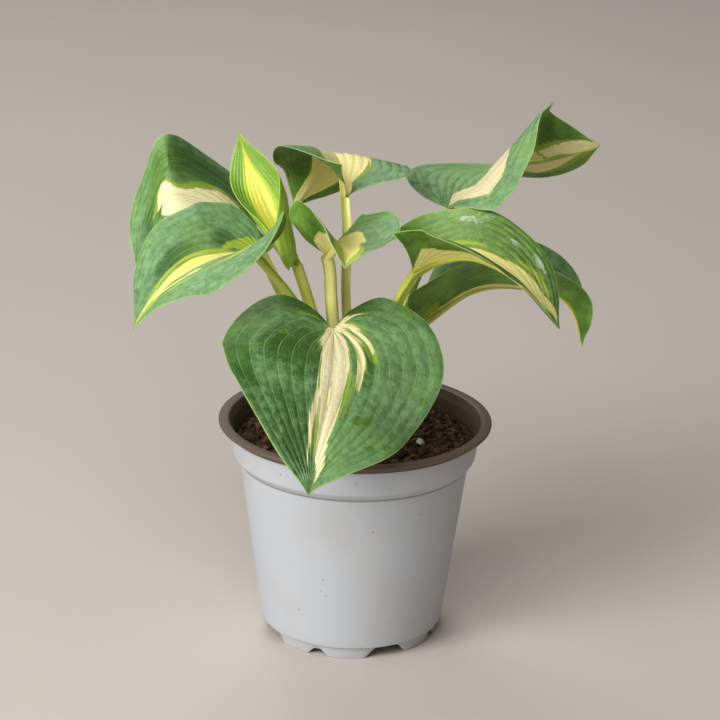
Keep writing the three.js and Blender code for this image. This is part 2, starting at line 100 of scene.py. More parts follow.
def spline(points: np.ndarray, share: np.ndarray) -> np.ndarray:
    """Follows a uniform Catmull-Rom curve whose ends run straight on.

    Args:
        points: The curve's points, one row each.
        share: How far along the curve, from 0 to 1.

    Returns:
        One row for each share.
    """
    count = len(points)
    place = np.clip(share, 0, 1) * (count - 1)
    first = np.minimum(place.astype(int), count - 2)
    rest = (place - first)[:, None]
    padded = np.vstack([2 * points[0] - points[1], points, 2 * points[-1] - points[-2]])
    p0, p1, p2, p3 = (padded[first + k] for k in range(4))
    leave, arrive = (p2 - p0) / 2, (p3 - p1) / 2
    cubic = 2 * p1 - 2 * p2 + leave + arrive
    square = -3 * p1 + 3 * p2 - 2 * leave - arrive
    return ((cubic * rest + square) * rest + leave) * rest + p1


def along(values: Triple, share: np.ndarray) -> np.ndarray:
    """Runs smoothly through the values at the base, the middle and the tip."""
    flat = np.clip(share, 0, 1).ravel()
    return spline(np.array(values, float)[:, None], flat)[:, 0].reshape(share.shape)


def unit(vectors: np.ndarray) -> np.ndarray:
    """Gives each row the length one."""
    return vectors / np.maximum(np.linalg.norm(vectors, axis=-1, keepdims=True), NEARLY_NOTHING)


def ways_along(points: np.ndarray, share: np.ndarray) -> np.ndarray:
    """Gives the way ahead at each share of a spline."""
    after, before = np.minimum(share + NUDGE, 1), np.maximum(share - NUDGE, 0)
    return unit(spline(points, after) - spline(points, before))


def turned_from(start: np.ndarray, end: np.ndarray, vector: np.ndarray) -> np.ndarray:
    """Turns a vector by the shortest turn that takes start to end."""
    turn = Vector(start).rotation_difference(Vector(end))
    return np.array(turn @ Vector(vector))


def carried(up: np.ndarray, ways: np.ndarray) -> np.ndarray:
    """Carries a direction along a path and keeps it square to the way ahead.

    Args:
        up: The direction at the path's start.
        ways: The way ahead at each place, one row each.

    Returns:
        The direction at each place.
    """
    rows = []
    for way in ways:
        up = unit(up - up @ way * way)
        rows.append(up)
    return np.array(rows)


def closed_spline(corners: np.ndarray, count: int) -> np.ndarray:
    """Rounds a closed outline.

    Args:
        corners: The outline's corners, one row each.
        count: How many points to give.

    Returns:
        The points, one row each.
    """
    wrapped = np.vstack([corners[-2:], corners, corners[:3]])
    share = (2 + np.arange(count) * len(corners) / count) / (len(wrapped) - 1)
    return spline(wrapped, share)


# ---- meshes ----------------------------------------------------------------------------


def lattice(rows: int, columns: int, closed: bool = True, flipped: bool = False) -> list[Face]:
    """Lists the faces between neighbouring rows of points.

    Args:
        rows: How many rows there are.
        columns: How many points each row has.
        closed: Whether a row's last point joins its first.
        flipped: Whether the faces look the other way.

    Returns:
        The corners of each face, row by row.
    """
    faces = []
    for row in range(rows - 1):
        for column in range(columns if closed else columns - 1):
            a = row * columns + column
            b = row * columns + (column + 1) % columns
            faces.append((a, b, b + columns, a + columns) if flipped else (a, a + columns, b + columns, b))
    return faces


def shifted(faces: list[Face], by: int) -> list[Face]:
    """Moves every corner number on."""
    return [tuple(corner + by for corner in face) for face in faces]


def tube_faces(rings: int, corners: int) -> list[Face]:
    """Lists the faces of a skin over equal rings, with both ends closed."""
    last = (rings - 1) * corners
    return lattice(rings, corners) + [tuple(range(corners)), tuple(reversed(range(last, last + corners)))]


def globe_faces(rings: int, corners: int) -> list[Face]:
    """Lists the faces over equal rings that run into a single point at either end.

    Args:
        rings: How many rings lie between the two points.
        corners: How many points each ring has.

    Returns:
        The faces from the first point's to the last one's, ring by ring.
    """
    last = 1 + (rings - 1) * corners
    top = last + corners
    pairs = [(corner, (corner + 1) % corners) for corner in range(corners)]
    first_fan = [(0, 1 + after, 1 + here) for here, after in pairs]
    last_fan = [(last + here, last + after, top) for here, after in pairs]
    return first_fan + shifted(lattice(rings, corners, flipped=True), 1) + last_fan


class MeshDraft:
    """Collects vertices, faces, their material slots and number attributes for one mesh."""

    def __init__(self) -> None:
        """Starts empty."""
        self.points: list[np.ndarray] = []
        self.faces: list[Face] = []
        self.slots: list[int] = []
        self.fields: dict[str, list[tuple[int, np.ndarray]]] = {}
        self.count = 0

    def add(
        self,
        points: np.ndarray,
        faces: list[Face],
        slots: int | np.ndarray = 0,
        fields: dict[str, np.ndarray] | None = None,
    ) -> None:
        """Adds a patch of mesh.

        Args:
            points: Vertices in millimetres, one row each.
            faces: Corner numbers that count from this patch's first vertex.
            slots: The material slot of all its faces, or of each.
            fields: A number for each vertex by attribute name.
        """
        self.points.append(points)
        self.faces += shifted(faces, self.count)
        self.slots += np.broadcast_to(slots, len(faces)).tolist()
        for name, values in (fields or {}).items():
            self.fields.setdefault(name, []).append((self.count, values.ravel()))
        self.count += len(points)

    def build(self, name: str, materials: list[bpy.types.Material], crease: float = 40) -> bpy.types.Object:
        """Makes the mesh object.

        Args:
            name: The object's name.
            materials: Its material slots.
            crease: The angle in degrees past which an edge stays sharp.

        Returns:
            The object, linked to the scene.
        """
        mesh = bpy.data.meshes.new(name)
        mesh.from_pydata(np.vstack(self.points) * MM, [], self.faces)
        for material in materials:
            mesh.materials.append(material)
        mesh.polygons.foreach_set("material_index", self.slots)
        for label, parts in self.fields.items():
            values = np.zeros(self.count, np.float32)
            for start, part in parts:
                values[start : start + len(part)] = part
            mesh.attributes.new(label, "FLOAT", "POINT").data.foreach_set("value", values)
        mesh.validate(clean_customdata=False)
        mesh.shade_smooth()
        mesh.set_sharp_from_angle(angle=math.radians(crease))
        piece = bpy.data.objects.new(name, mesh)
        bpy.context.scene.collection.objects.link(piece)
        return piece


def bake_modifiers(piece: bpy.types.Object) -> None:
    """Swaps a piece's mesh for the one its modifiers make, and drops the modifiers.

    Args:
        piece: The mesh object.
    """
    seen = piece.evaluated_get(bpy.context.evaluated_depsgraph_get())
    piece.data = bpy.data.meshes.new_from_object(seen)
    piece.modifiers.clear()


# ---- node trees ------------------------------------------------------------------------

Socket = bpy.types.NodeSocket


class Level:
    """A number that varies over a surface, and the sums that are made of it."""

    def __init__(self, bench: "Bench", socket: Socket) -> None:
        """Keeps the socket that puts the number out, and the bench it stands on."""
        self.bench = bench
        self.socket = socket

    def __add__(self, other: "Feed") -> "Level":
        """Adds a number or a level."""
        return self.bench.sum("ADD", self, other)

    def __sub__(self, other: "Feed") -> "Level":
        """Takes a number or a level away."""
        return self.bench.sum("SUBTRACT", self, other)

    def __mul__(self, other: "Feed") -> "Level":
        """Multiplies by a number or a level."""
        return self.bench.sum("MULTIPLY", self, other)

    def __abs__(self) -> "Level":
        """Drops the sign."""
        return self.bench.sum("ABSOLUTE", self)

    def eased(self, low: float, high: float, start: float = 0, end: float = 1) -> "Level":
        """Eases from start to end while the number goes from low to high."""
        feeds = {0: self, 1: low, 2: high, 3: start, 4: end}
        return self.bench.level("MapRange", feeds, interpolation_type="SMOOTHSTEP")

    def fading(self, low: float, high: float) -> "Level":
        """Eases from 1 to 0 while the number goes from low to high."""
        return self.eased(low, high, 1, 0)


Feed = Level | Socket | float | Colour


class Bench:
    """Places and wires the nodes of one tree."""

    def __init__(self, tree: bpy.types.NodeTree) -> None:
        """Starts on an empty tree."""
        self.tree = tree
        self.tree.nodes.clear()

    def put(self, kind: str, feeds: dict[str | int, Feed], **settings: object) -> bpy.types.Node:
        """Places a node.

        Args:
            kind: The node's type, without its ShaderNode prefix.
            feeds: What each input takes, a level, a socket or a plain value.
            settings: The node's own properties.

        Returns:
            The node.
        """
        node = self.tree.nodes.new("ShaderNode" + kind)
        for name, value in settings.items():
            setattr(node, name, value)
        for key, value in feeds.items():
            self.feed(node.inputs[key], value)
        return node

    def feed(self, socket: Socket, value: Feed) -> None:
        """Links a level or a socket into an input, or sets the input's plain value.

        Args:
            socket: The input.
            value: What it takes.
        """
        if isinstance(value, Level):
            value = value.socket
        if isinstance(value, Socket):
            self.tree.links.new(value, socket)
        elif isinstance(value, tuple):
            socket.default_value = (*value, 1.0)[: len(socket.default_value)]
        else:
            socket.default_value = value

    def level(
        self, kind: str, feeds: dict[str | int, Feed], output: str | int = 0, **settings: object
    ) -> Level:
        """Places a node and takes one number that it puts out."""
        return Level(self, self.put(kind, feeds, **settings).outputs[output])

    def read(self, name: str) -> Level:
        """Reads one of the mesh's own attributes."""
        return self.level("Attribute", {}, "Fac", attribute_name=name)

    def sum(self, operation: str, *feeds: Feed) -> Level:
        """Works out a Math node."""
        return self.level("Math", dict(enumerate(feeds)), operation=operation)

    def blend(self, share: Feed, first: Feed, second: Feed) -> Socket:
        """Mixes two colours, from the first at share 0 to the second at 1."""
        feeds = {0: share, 6: first, 7: second}
        return self.put("Mix", feeds, data_type="RGBA", clamp_factor=True).outputs[2]

    def layered(self, colour: Feed, *coats: tuple[Feed, Feed]) -> Feed:
        """Lays coats over a colour.

        Args:
            colour: What lies below.
            coats: The share and the colour of each coat, from the lowest up.

        Returns:
            The colour on top.
        """
        for share, coat in coats:
            colour = self.blend(share, colour, coat)
        return colour

    def cloud(self, where: Feed, scale: Feed, detail: float = 3, rough: float = 0.6) -> Level:
        """Reads soft noise at a place, as a number around a half."""
        feeds = {"Vector": where, "Scale": scale, "Detail": detail, "Roughness": rough}
        return self.level("TexNoise", feeds, "Fac")

    def place(self, x: Feed, y: Feed, z: Feed) -> Socket:
        """Joins three numbers into a place."""
        return self.put("CombineXYZ", {0: x, 1: y, 2: z}).outputs[0]

    def own_place(self) -> Socket:
        """Reads the place on the piece in its own coordinates."""
        return self.put("TexCoord", {}).outputs["Object"]

    def use(self, group: bpy.types.NodeTree, feeds: dict[str, Feed]) -> dict[str, Level]:
        """Places a shader node group and takes what it puts out, by name."""
        outputs = self.put("Group", feeds, node_tree=group).outputs
        return {socket.name: Level(self, socket) for socket in outputs}

    def dent(self, height: Level, strength: float, distance: float) -> Socket:
        """Turns a height into a bumped normal."""
        feeds = {"Height": height, "Strength": strength, "Distance": distance}
        return self.put("Bump", feeds).outputs[0]

    def surface(self, feeds: dict[str, Feed]) -> None:
        """Ends a material with its Principled shader."""
        shader = self.put("BsdfPrincipled", feeds)
        self.put("OutputMaterial", {"Surface": shader.outputs[0]})


def new_group(name: str, inputs: dict[str, float], outputs: tuple[str, ...]) -> tuple[Bench, list[Level]]:
    """Starts a shader node group of numbers.

    Args:
        name: The group's name.
        inputs: Each input's name and usual value.
        outputs: The names of what the group puts out.

    Returns:
        The bench to build it on, and its inputs in order.
    """
    tree = bpy.data.node_groups.new(name, "ShaderNodeTree")
    for label, value in inputs.items():
        socket = tree.interface.new_socket(label, in_out="INPUT", socket_type="NodeSocketFloat")
        socket.default_value = value
    for label in outputs:
        tree.interface.new_socket(label, in_out="OUTPUT", socket_type="NodeSocketFloat")
    bench = Bench(tree)
    entry = tree.nodes.new("NodeGroupInput")
    return bench, [Level(bench, entry.outputs[label]) for label in inputs]


def close_group(bench: Bench, results: dict[str, Level]) -> bpy.types.NodeTree:
    """Wires a group's results to its outputs.

    Args:
        bench: The group's bench.
        results: Each output's name and number.

    Returns:
        The group's tree.
    """
    leave = bench.tree.nodes.new("NodeGroupOutput")
    for label, level in results.items():
        bench.feed(leave.inputs[label], level)
    return bench.tree


def vein_group() -> bpy.types.NodeTree:
    """Builds the veins that run from the stalk to the tip at even steps of side.

    Returns:
        The group. Line is the pale veins, and Relief the tissue that swells between them.
    """
    inputs = {"Side": 0, "Travel": 0, "Count": VEINS_PER_HALF}
    bench, (side, travel, count) = new_group("leaf_veins", inputs, ("Line", "Relief"))
    step = abs(side) * count
    off = bench.sum("PINGPONG", step, 0.5)
    finer = bench.sum("PINGPONG", step * 4, 0.5)
    worn = bench.cloud(bench.place(step * 3, travel * 9, 4), scale=1, detail=2)
    line = off.fading(0, 0.07) * worn.eased(0.3, 0.65, start=0.35)
    fine_line = finer.fading(0, 0.3) * worn.eased(0.4, 0.6)
    crossing = bench.cloud(bench.place(abs(side) * 30, travel * 90, 0), scale=1, detail=2)
    results = {
        "Line": bench.sum("MAXIMUM", line, fine_line * 0.22),
        "Relief": crossing * 0.35 + off.eased(0, 0.4),
    }
    return close_group(bench, results)


def streak_group() -> bpy.types.NodeTree:
    """Builds the jagged streaks in which the cream centre breaks up along the veins.

    Returns:
        The group. Cream and Lime are the ragged bands, and Flame the paler threads in them.
    """
    inputs = {"Cream": 0, "Lime": 0, "Side": 0, "Travel": 0, "Seed": 0, "Jag": 0.1}
    bench, levels = new_group("cream_streaks", inputs, ("Cream", "Lime", "Flame"))
    cream, lime, side, travel, seed, jag = levels

    def streaky(across: float, ahead: float, shift: float) -> Level:
        """Gives noise that is drawn out along the veins, from -1 to 1."""
        where = bench.place(side * across, travel * ahead, seed + shift)
        return bench.cloud(where, scale=1, rough=0.7) * 2 - 1

    ragged = streaky(across=16, ahead=1.6, shift=0) * jag + streaky(across=70, ahead=3, shift=5) * jag * 0.45
    halo = streaky(across=48, ahead=2.4, shift=11) * jag + ragged
    results = {
        "Cream": (cream + ragged).eased(-0.006, 0.012),
        "Lime": (lime + halo).eased(-0.012, 0.03),
        "Flame": streaky(across=90, ahead=1.2, shift=17).eased(-0.4, 0.3),
    }
    return close_group(bench, results)


def mark_group() -> bpy.types.NodeTree:
    """Builds the ragged edges of wet blots and of pale scuffs, and the pale rings painted as the glints of
    water drops.

    Returns:
        The group.
    """
    inputs = {"Blot": 0, "Scuff": 0, "Drop": 0}
    bench, (blot, scuff, drop) = new_group("leaf_marks", inputs, ("Blot", "Scuff", "DropGlint"))
    where = bench.own_place()
    ragged = bench.cloud(where, scale=190) * 1.2 - 0.6
    scratch = bench.cloud(where, scale=900, detail=4, rough=0.8)
    patchy = scuff * bench.cloud(where, scale=240, detail=2)
    results = {
        "Blot": (blot + ragged).eased(0.42, 0.5),
        "Scuff": (scratch * patchy).eased(0.16, 0.27),
        # painted highlight: a pale ring round each water drop stands in for the drop's glint
        "DropGlint": abs(drop + ragged * 0.1 - 0.2).fading(0.04, 0.14),
    }
    return close_group(bench, results)


def grime_group() -> bpy.types.NodeTree:
    """Builds the fine grain, faint clouds and stray specks of handled plastic.

    Returns:
        The group, whose inputs are the scales of the three.
    """
    inputs = {"Grain": 1400, "Cloud": 28, "Speck": 210}
    bench, (grain, cloud, speck) = new_group("plastic_grime", inputs, ("Grain", "Cloud", "Speck"))
    where = bench.own_place()
    cell = bench.level("TexVoronoi", {"Vector": where, "Scale": speck}, "Distance")
    rare = bench.cloud(where, scale=90, detail=2).eased(0.56, 0.66)
    results = {
        "Grain": bench.cloud(where, grain, detail=2, rough=0.5),
        "Cloud": bench.cloud(where, cloud, detail=4, rough=0.5),
        "Speck": cell.fading(0.08, 0.15) * rare,
    }
    return close_group(bench, results)


@dataclass
class Groups:
    """The shader node groups, each built once and used by several materials."""

    veins: bpy.types.NodeTree = field(default_factory=vein_group)
    streaks: bpy.types.NodeTree = field(default_factory=streak_group)
    marks: bpy.types.NodeTree = field(default_factory=mark_group)
    grime: bpy.types.NodeTree = field(default_factory=grime_group)


def new_material(name: str) -> tuple[bpy.types.Material, Bench]:
    """Makes an empty node material.

    Args:
        name: The material's name.

    Returns:
        The material, and the bench to build it on.
    """
    material = bpy.data.materials.new(name)
    material.use_nodes = True
    return material, Bench(material.node_tree)


# ---- finishes --------------------------------------------------------------------------

LEAF_GLOSS = {"IOR": 1.42, "Specular IOR Level": 0.45}
LEAF_DEPTH = {"Subsurface Weight": 0.5, "Subsurface Radius": (0.8, 1.0, 0.3), "Subsurface Scale": 0.001}


@dataclass(frozen=True)
class BladeFinish:
    """The colours of a leaf blade, above and below, and the shares in which they show."""

    deep: Colour = (0.034, 0.108, 0.017)
    bloom: Colour = (0.207, 0.378, 0.162)
    fresh: Colour = (0.180, 0.370, 0.030)
    vein: Colour = (0.330, 0.510, 0.200)
    lime: Colour = (0.310, 0.450, 0.035)
    cream: Colour = (0.740, 0.610, 0.280)
    ivory: Colour = (0.960, 0.900, 0.620)
    # margin: the thin pale line along the edge, partly the margin's own yellow-green and partly a painted
    # highlight
    margin: Colour = (0.400, 0.560, 0.130)
    under: Colour = (0.165, 0.330, 0.040)
    under_deep: Colour = (0.072, 0.178, 0.015)
    # the underside's own cream, brightened past the upper face's as painted light shining through the blade
    under_cream_and_glow: Colour = (0.950, 0.870, 0.380)
    wet: Colour = (0.110, 0.240, 0.030)
    scuff: Colour = (0.620, 0.700, 0.560)
    bloom_share: float = 0.30
    patch_share: float = 0.34
    fleck_share: float = 0.5
    # painted shade: how far the shade patches take the green towards deep
    painted_shade_share: float = 0.75
    fresh_share: float = 0.42
    vein_share: float = 0.55
    under_vein_share: float = 0.45
    blot_share: float = 0.75
    # painted highlight: how strongly the pale glint rings of water drops show
    drop_glint_share: float = 0.3
    scuff_share: float = 0.7
    flame_share: float = 0.8
    lime_share: float = 0.85
    margin_and_highlight_share: float = 0.6
    margin_width: float = 0.0006
    relief_share: float = 0.35
    roughness: float = 0.42
    wet_gloss: float = -0.2
    jag: float = 0.09

    def build(self, name: str, seed: float, groups: Groups) -> bpy.types.Material:
        """Builds the material that one leaf's blade wears on both faces.

        Args:
            name: The material's name.
            seed: A number that gives this leaf streaks of its own.
            groups: The shared node groups.

        Returns:
            The material.
        """
        material, bench = new_material(name)
        labels = ("side", "travel", "upper", "cream", "lime", "blot", "scuff", "drop", "margin")
        read = {label: bench.read(label) for label in labels}
        place = {"Side": read["side"], "Travel": read["travel"]}
        veins = bench.use(groups.veins, place)
        bands = {"Cream": read["cream"], "Lime": read["lime"], "Seed": seed, "Jag": self.jag}
        streaks = bench.use(groups.streaks, place | bands)
        marks = bench.use(groups.marks, {label.title(): read[label] for label in ("blot", "scuff", "drop")})
        where = bench.own_place()
        mottle = bench.cloud(where, scale=70, detail=4, rough=0.7).eased(0.35, 0.65)
        back = bench.blend(mottle, self.under_deep, self.under)
        back = bench.blend(veins["Line"] * self.under_vein_share, back, self.vein)
        back = self.variegated(bench, back, streaks, (self.under_cream_and_glow, self.cream))
        face = self.green(bench, veins["Line"], marks, seed)
        face = self.variegated(bench, face, streaks, (self.cream, self.ivory))
        # painted highlight: the line along the margin is partly the edge's own colour and partly painted
        # light on it
        rim = read["margin"].fading(self.margin_width * 0.4, self.margin_width)
        skin = bench.cloud(where, scale=480, detail=4, rough=0.7)
        feeds = {
            "Base Color": bench.layered(back, (read["upper"], face), (rim * self.margin_and_highlight_share, self.margin)),
            "Roughness": marks["Blot"] * read["upper"] * self.wet_gloss + self.roughness,
            "Normal": bench.dent(veins["Relief"] * self.relief_share + skin, strength=0.75, distance=0.0008),
        }
        bench.surface(feeds | LEAF_GLOSS | LEAF_DEPTH)
        return material

    def green(self, bench: Bench, line: Level, marks: dict[str, Level], seed: float) -> Feed:
        """Builds the green of the upper face, with its bloom, painted shade, veins, blots, the painted
        glints of water drops and scuffs.

        Args:
            bench: The material's bench.
            line: The pale lines of the veins.
            marks: What the group of marks puts out.
            seed: A number that gives this leaf patches of its own.

        Returns:
            The colour.
        """
        feeds = {0: bench.own_place(), 1: (seed, 0.0, seed)}
        where = bench.put("VectorMath", feeds, operation="ADD").outputs[0]
        patches = bench.cloud(where, scale=26, detail=4, rough=0.65).eased(0.32, 0.66)
        fleck = bench.cloud(where, scale=260, detail=4, rough=0.75).eased(0.36, 0.66)
        share = fleck * self.fleck_share + patches * self.patch_share + self.bloom_share
        # painted shade: the shade attribute darkens the green where the blade turns from the light
        share = share - bench.read("shade").eased(0, 0.8, end=self.painted_shade_share)
        return bench.layered(
            bench.blend(share, self.deep, self.bloom),
            (bench.cloud(where, scale=17).eased(0.48, 0.68, end=self.fresh_share), self.fresh),
            (line * self.vein_share, self.vein),
            (marks["Blot"] * self.blot_share, self.wet),
            (marks["DropGlint"] * self.drop_glint_share, self.scuff),
            (marks["Scuff"] * self.scuff_share, self.scuff),
        )

    def variegated(
        self, bench: Bench, green: Feed, streaks: dict[str, Level], creams: tuple[Colour, Colour]
    ) -> Feed:
        """Lays the lime halo and the cream centre over a green.

        Args:
            bench: The material's bench.
            green: The colour below.
            streaks: What the group of streaks puts out.
            creams: The cream, and the colour of the threads in it.

        Returns:
            The colour.
        """
        pale = bench.blend(streaks["Flame"] * self.flame_share, *creams)
        return bench.layered(green, (streaks["Lime"] * self.lime_share, self.lime), (streaks["Cream"], pale))


@dataclass(frozen=True)
class StalkFinish:
    """The colours of a channelled stalk and the rib that it runs on as, with painted shade on its flanks."""

    body: Colour = (0.900, 0.850, 0.300)
    # shade: a darker colour, partly streaky tone and partly painted shade towards the flanks
    shade: Colour = (0.660, 0.660, 0.110)
    edge: Colour = (0.300, 0.400, 0.035)
    roughness: float = 0.4

    def build(self, name: str) -> bpy.types.Material:
        """Builds one leaf's stalk material.

        Args:
            name: The material's name.

        Returns:
            The material.
        """
        material, bench = new_material(name)
        across, travel = bench.read("side"), bench.read("travel")
        threads = bench.cloud(bench.place(across * 9, travel * 5, 0), scale=1, detail=4, rough=0.7)
        # painted shade: the shade colour gathers towards the stalk's flanks, over streaky tone
        shade = (threads + abs(across) * 0.25).eased(0.55, 0.95)
        edge = (threads * 0.35 + abs(across)).eased(1.04, 1.25)
        feeds = {
            "Base Color": bench.layered(self.body, (shade, self.shade), (edge, self.edge)),
            "Roughness": self.roughness,
            "Normal": bench.dent(threads, strength=0.3, distance=0.0003),
        }
        bench.surface(feeds | LEAF_GLOSS)
        return material


@dataclass(frozen=True)
class PlasticFinish:
    """A matte moulded plastic, with a little grime."""

    colour: Colour
    grime: Colour
    roughness: float
    cloud_share: float
    speck_share: float
    grain_scale: float = 1400
    cloud_scale: float = 28
    speck_scale: float = 210
    foot_share: float = 0.5
    step_line_share: float = 0.6
    speck: Colour = (0.12, 0.08, 0.05)

    def build(self, name: str, groups: Groups) -> bpy.types.Material:
        """Builds the material.

        Args:
            name: The material's name.
            groups: The shared node groups.

        Returns:
            The material.
        """
        material, bench = new_material(name)
        scales = {"Grain": self.grain_scale, "Cloud": self.cloud_scale, "Speck": self.speck_scale}
        grime = bench.use(groups.grime, scales)
        dirt = bench.read("foot").eased(0, 1) * grime["Cloud"].eased(0.3, 0.7)
        colour = bench.layered(
            self.colour,
            (grime["Cloud"].eased(0.42, 0.75) * self.cloud_share, self.grime),
            (dirt * self.foot_share, self.grime),
            (grime["Speck"] * self.speck_share, self.speck),
            # darkens a thin line along the step of the wall
            (bench.read("seam") * self.step_line_share, self.speck),
        )
        feeds = {
            "Base Color": colour,
            "Roughness": grime["Grain"] * 0.12 + self.roughness,
            "Specular IOR Level": 0.4,
            "Normal": bench.dent(grime["Grain"], strength=0.12, distance=0.0002),
        }
        bench.surface(feeds)
        return material


@dataclass(frozen=True)
class SoilFinish:
    """Damp peat and coir, from near black to rusty brown."""

    dark: Colour = (0.014, 0.006, 0.003)
    warm: Colour = (0.192, 0.082, 0.027)
    fleck: Colour = (0.380, 0.190, 0.080)

    def build(self, name: str) -> bpy.types.Material:
        """Builds the soil material, toned crumb by crumb.

        Args:
            name: The material's name.

        Returns:
            The material.
        """
        material, bench = new_material(name)
        tone, where = bench.read("tone"), bench.own_place()
        mixed = bench.cloud(where, scale=500, detail=4, rough=0.7) * 0.7 + tone * 0.6
        pits = bench.cloud(where, scale=1300, detail=4, rough=0.75)
        colour = bench.blend(mixed.eased(0.3, 1), self.dark, self.warm)
        feeds = {
            "Base Color": bench.blend(tone.eased(0.86, 1), colour, self.fleck),
            "Roughness": bench.cloud(where, scale=300, detail=2).eased(0.3, 0.7, 0.6, 0.95),
            "Specular IOR Level": 0.3,
            "Normal": bench.dent(pits, strength=0.9, distance=0.0006),
        }
        bench.surface(feeds)
        return material


@dataclass(frozen=True)
class PerliteFinish:
    """The chalky white of a perlite grain."""

    pit: Colour = (0.55, 0.5, 0.4)
    chalk: Colour = (0.85, 0.83, 0.76)

    def build(self, name: str) -> bpy.types.Material:
        """Builds the material.

        Args:
            name: The material's name.

        Returns:
            The material.
        """
        material, bench = new_material(name)
        pits = bench.cloud(bench.own_place(), scale=1600, rough=0.7)
        feeds = {
            "Base Color": bench.blend(pits.eased(0.3, 0.7), self.pit, self.chalk),
            "Roughness": 0.9,
            "Normal": bench.dent(pits, strength=0.7, distance=0.0004),
        }
        bench.surface(feeds)
        return material


@dataclass(frozen=True)
class FloorFinish:
    """The plain pale floor."""

    dark: Colour = (0.52, 0.47, 0.42)
    pale: Colour = (0.56, 0.51, 0.46)

    def build(self, name: str) -> bpy.types.Material:
        """Builds the material.

        Args:
            name: The material's name.

        Returns:
            The material.
        """
        material, bench = new_material(name)
        colour = bench.blend(bench.cloud(bench.own_place(), scale=3, detail=2), self.dark, self.pale)
        bench.surface({"Base Color": colour, "Roughness": 0.9})
        return material


YELLOW_BLADE = BladeFinish(
    cream=(0.800, 0.720, 0.170), ivory=(0.900, 0.830, 0.280), lime=(0.420, 0.520, 0.040)
)
WARM_BLADE = BladeFinish(
    # the near white cream of the underside is painted light shining through the blade
    cream=(0.920, 0.760, 0.290), ivory=(0.970, 0.870, 0.430), under_cream_and_glow=(0.980, 0.880, 0.380)
)
BRIGHT_BLADE = BladeFinish(cream=(0.850, 0.750, 0.360), ivory=(0.960, 0.900, 0.560))
DULL_BLADE = BladeFinish(cream=(0.640, 0.540, 0.270), ivory=(0.830, 0.760, 0.500))
GLOSSY_BLADE = BladeFinish(
    bloom=(0.220, 0.380, 0.080), cream=(0.800, 0.720, 0.170), ivory=(0.920, 0.860, 0.400),
    lime=(0.420, 0.520, 0.040), roughness=0.36,
)
YOUNG_BLADE = BladeFinish(
    deep=(0.130, 0.280, 0.020), bloom=(0.270, 0.460, 0.080), fresh=(0.330, 0.520, 0.050),
    vein=(0.420, 0.600, 0.090), lime=(0.480, 0.620, 0.045), cream=(0.830, 0.760, 0.060),
    ivory=(0.930, 0.850, 0.260), under=(0.400, 0.560, 0.070), under_deep=(0.270, 0.430, 0.035),
    under_cream_and_glow=(0.560, 0.620, 0.070),
)
# the second colour is painted shade on the stalk's flanks, over streaky tone
GREEN_STALK = StalkFinish((0.600, 0.620, 0.110), (0.340, 0.420, 0.040), (0.200, 0.340, 0.030))
POT_OUTSIDE = PlasticFinish((0.445, 0.468, 0.500), (0.420, 0.385, 0.315), 0.46, 0.3, 0.5)
POT_INSIDE = PlasticFinish((0.112, 0.077, 0.052), (0.080, 0.055, 0.040), 0.42, 0.5, 0.4)


# ---- leaves ----------------------------------------------------------------------------

HEART = np.array(
    [
        (0, 0), (0.17, -0.10), (0.46, -0.17), (0.79, -0.09), (0.98, 0.09), (0.98, 0.29),
        (0.84, 0.50), (0.60, 0.70), (0.31, 0.86), (0.11, 0.945), (0, 1),
    ]
)
GUTTER_SECTION = np.array(
    [
        (-1, 0.45), (-0.86, -0.4), (-0.45, -0.88), (0, -1), (0.45, -0.88), (0.86, -0.4),
        (1, 0.45), (0.42, 0.02), (-0.42, 0.02),
    ]
)
RIB_SECTION = np.array(
    [
        (-0.8, 0.2), (-0.72, -0.3), (-0.42, -0.78), (0, -1), (0.42, -0.78), (0.72, -0.3),
        (0.8, 0.2), (0.4, 0.3), (-0.4, 0.3),
    ]
)


@dataclass(frozen=True)
class Patch:
    """A wet blot, a patch of painted shade, a scuffed place or a water drop on a blade.

    side and travel are its middle, from -1 to 1 across and 0 to 1 along, and wide and long
    are its half sizes in the same measures.
    """

    side: float
    travel: float
    wide: float
    long: float

    def field(self, side: np.ndarray, travel: np.ndarray) -> np.ndarray:
        """Gives 1 in the patch's middle, 0 on its edge and less outside."""
        return 1 - np.hypot((side - self.side) / self.wide, (travel - self.travel) / self.long)


@dataclass(frozen=True)
class Band:
    """A streak of colour that runs along the veins.

    Each edge gives a travel and the sides between which the band lies there.
    """

    edges: tuple[Triple, ...]
    end_steepness: float = 2.2

    def field(self, side: np.ndarray, travel: np.ndarray) -> np.ndarray:
        """Tells how far places lie inside the band.

        Args:
            side: From -1 on the left margin to 1 on the right.
            travel: From 0 at the stalk to 1 at the tip.

        Returns:
            The way to the band's edge, in side, and less than 0 outside.
        """
        travels, lefts, rights = zip(*self.edges)
        left, right = np.interp(travel, travels, lefts), np.interp(travel, travels, rights)
        past = np.maximum(np.maximum(travels[0] - travel, travel - travels[-1]), 0)
        return np.minimum(side - left, right - side) - self.end_steepness * past


def bands(*edges: tuple[Triple, ...]) -> tuple[Band, ...]:
    """Makes a band from each list of edges."""
    return tuple(Band(each) for each in edges)


def patches(*places: tuple[float, float, float, float]) -> tuple[Patch, ...]:
    """Makes a patch from each middle and half size."""
    return tuple(Patch(*place) for place in places)


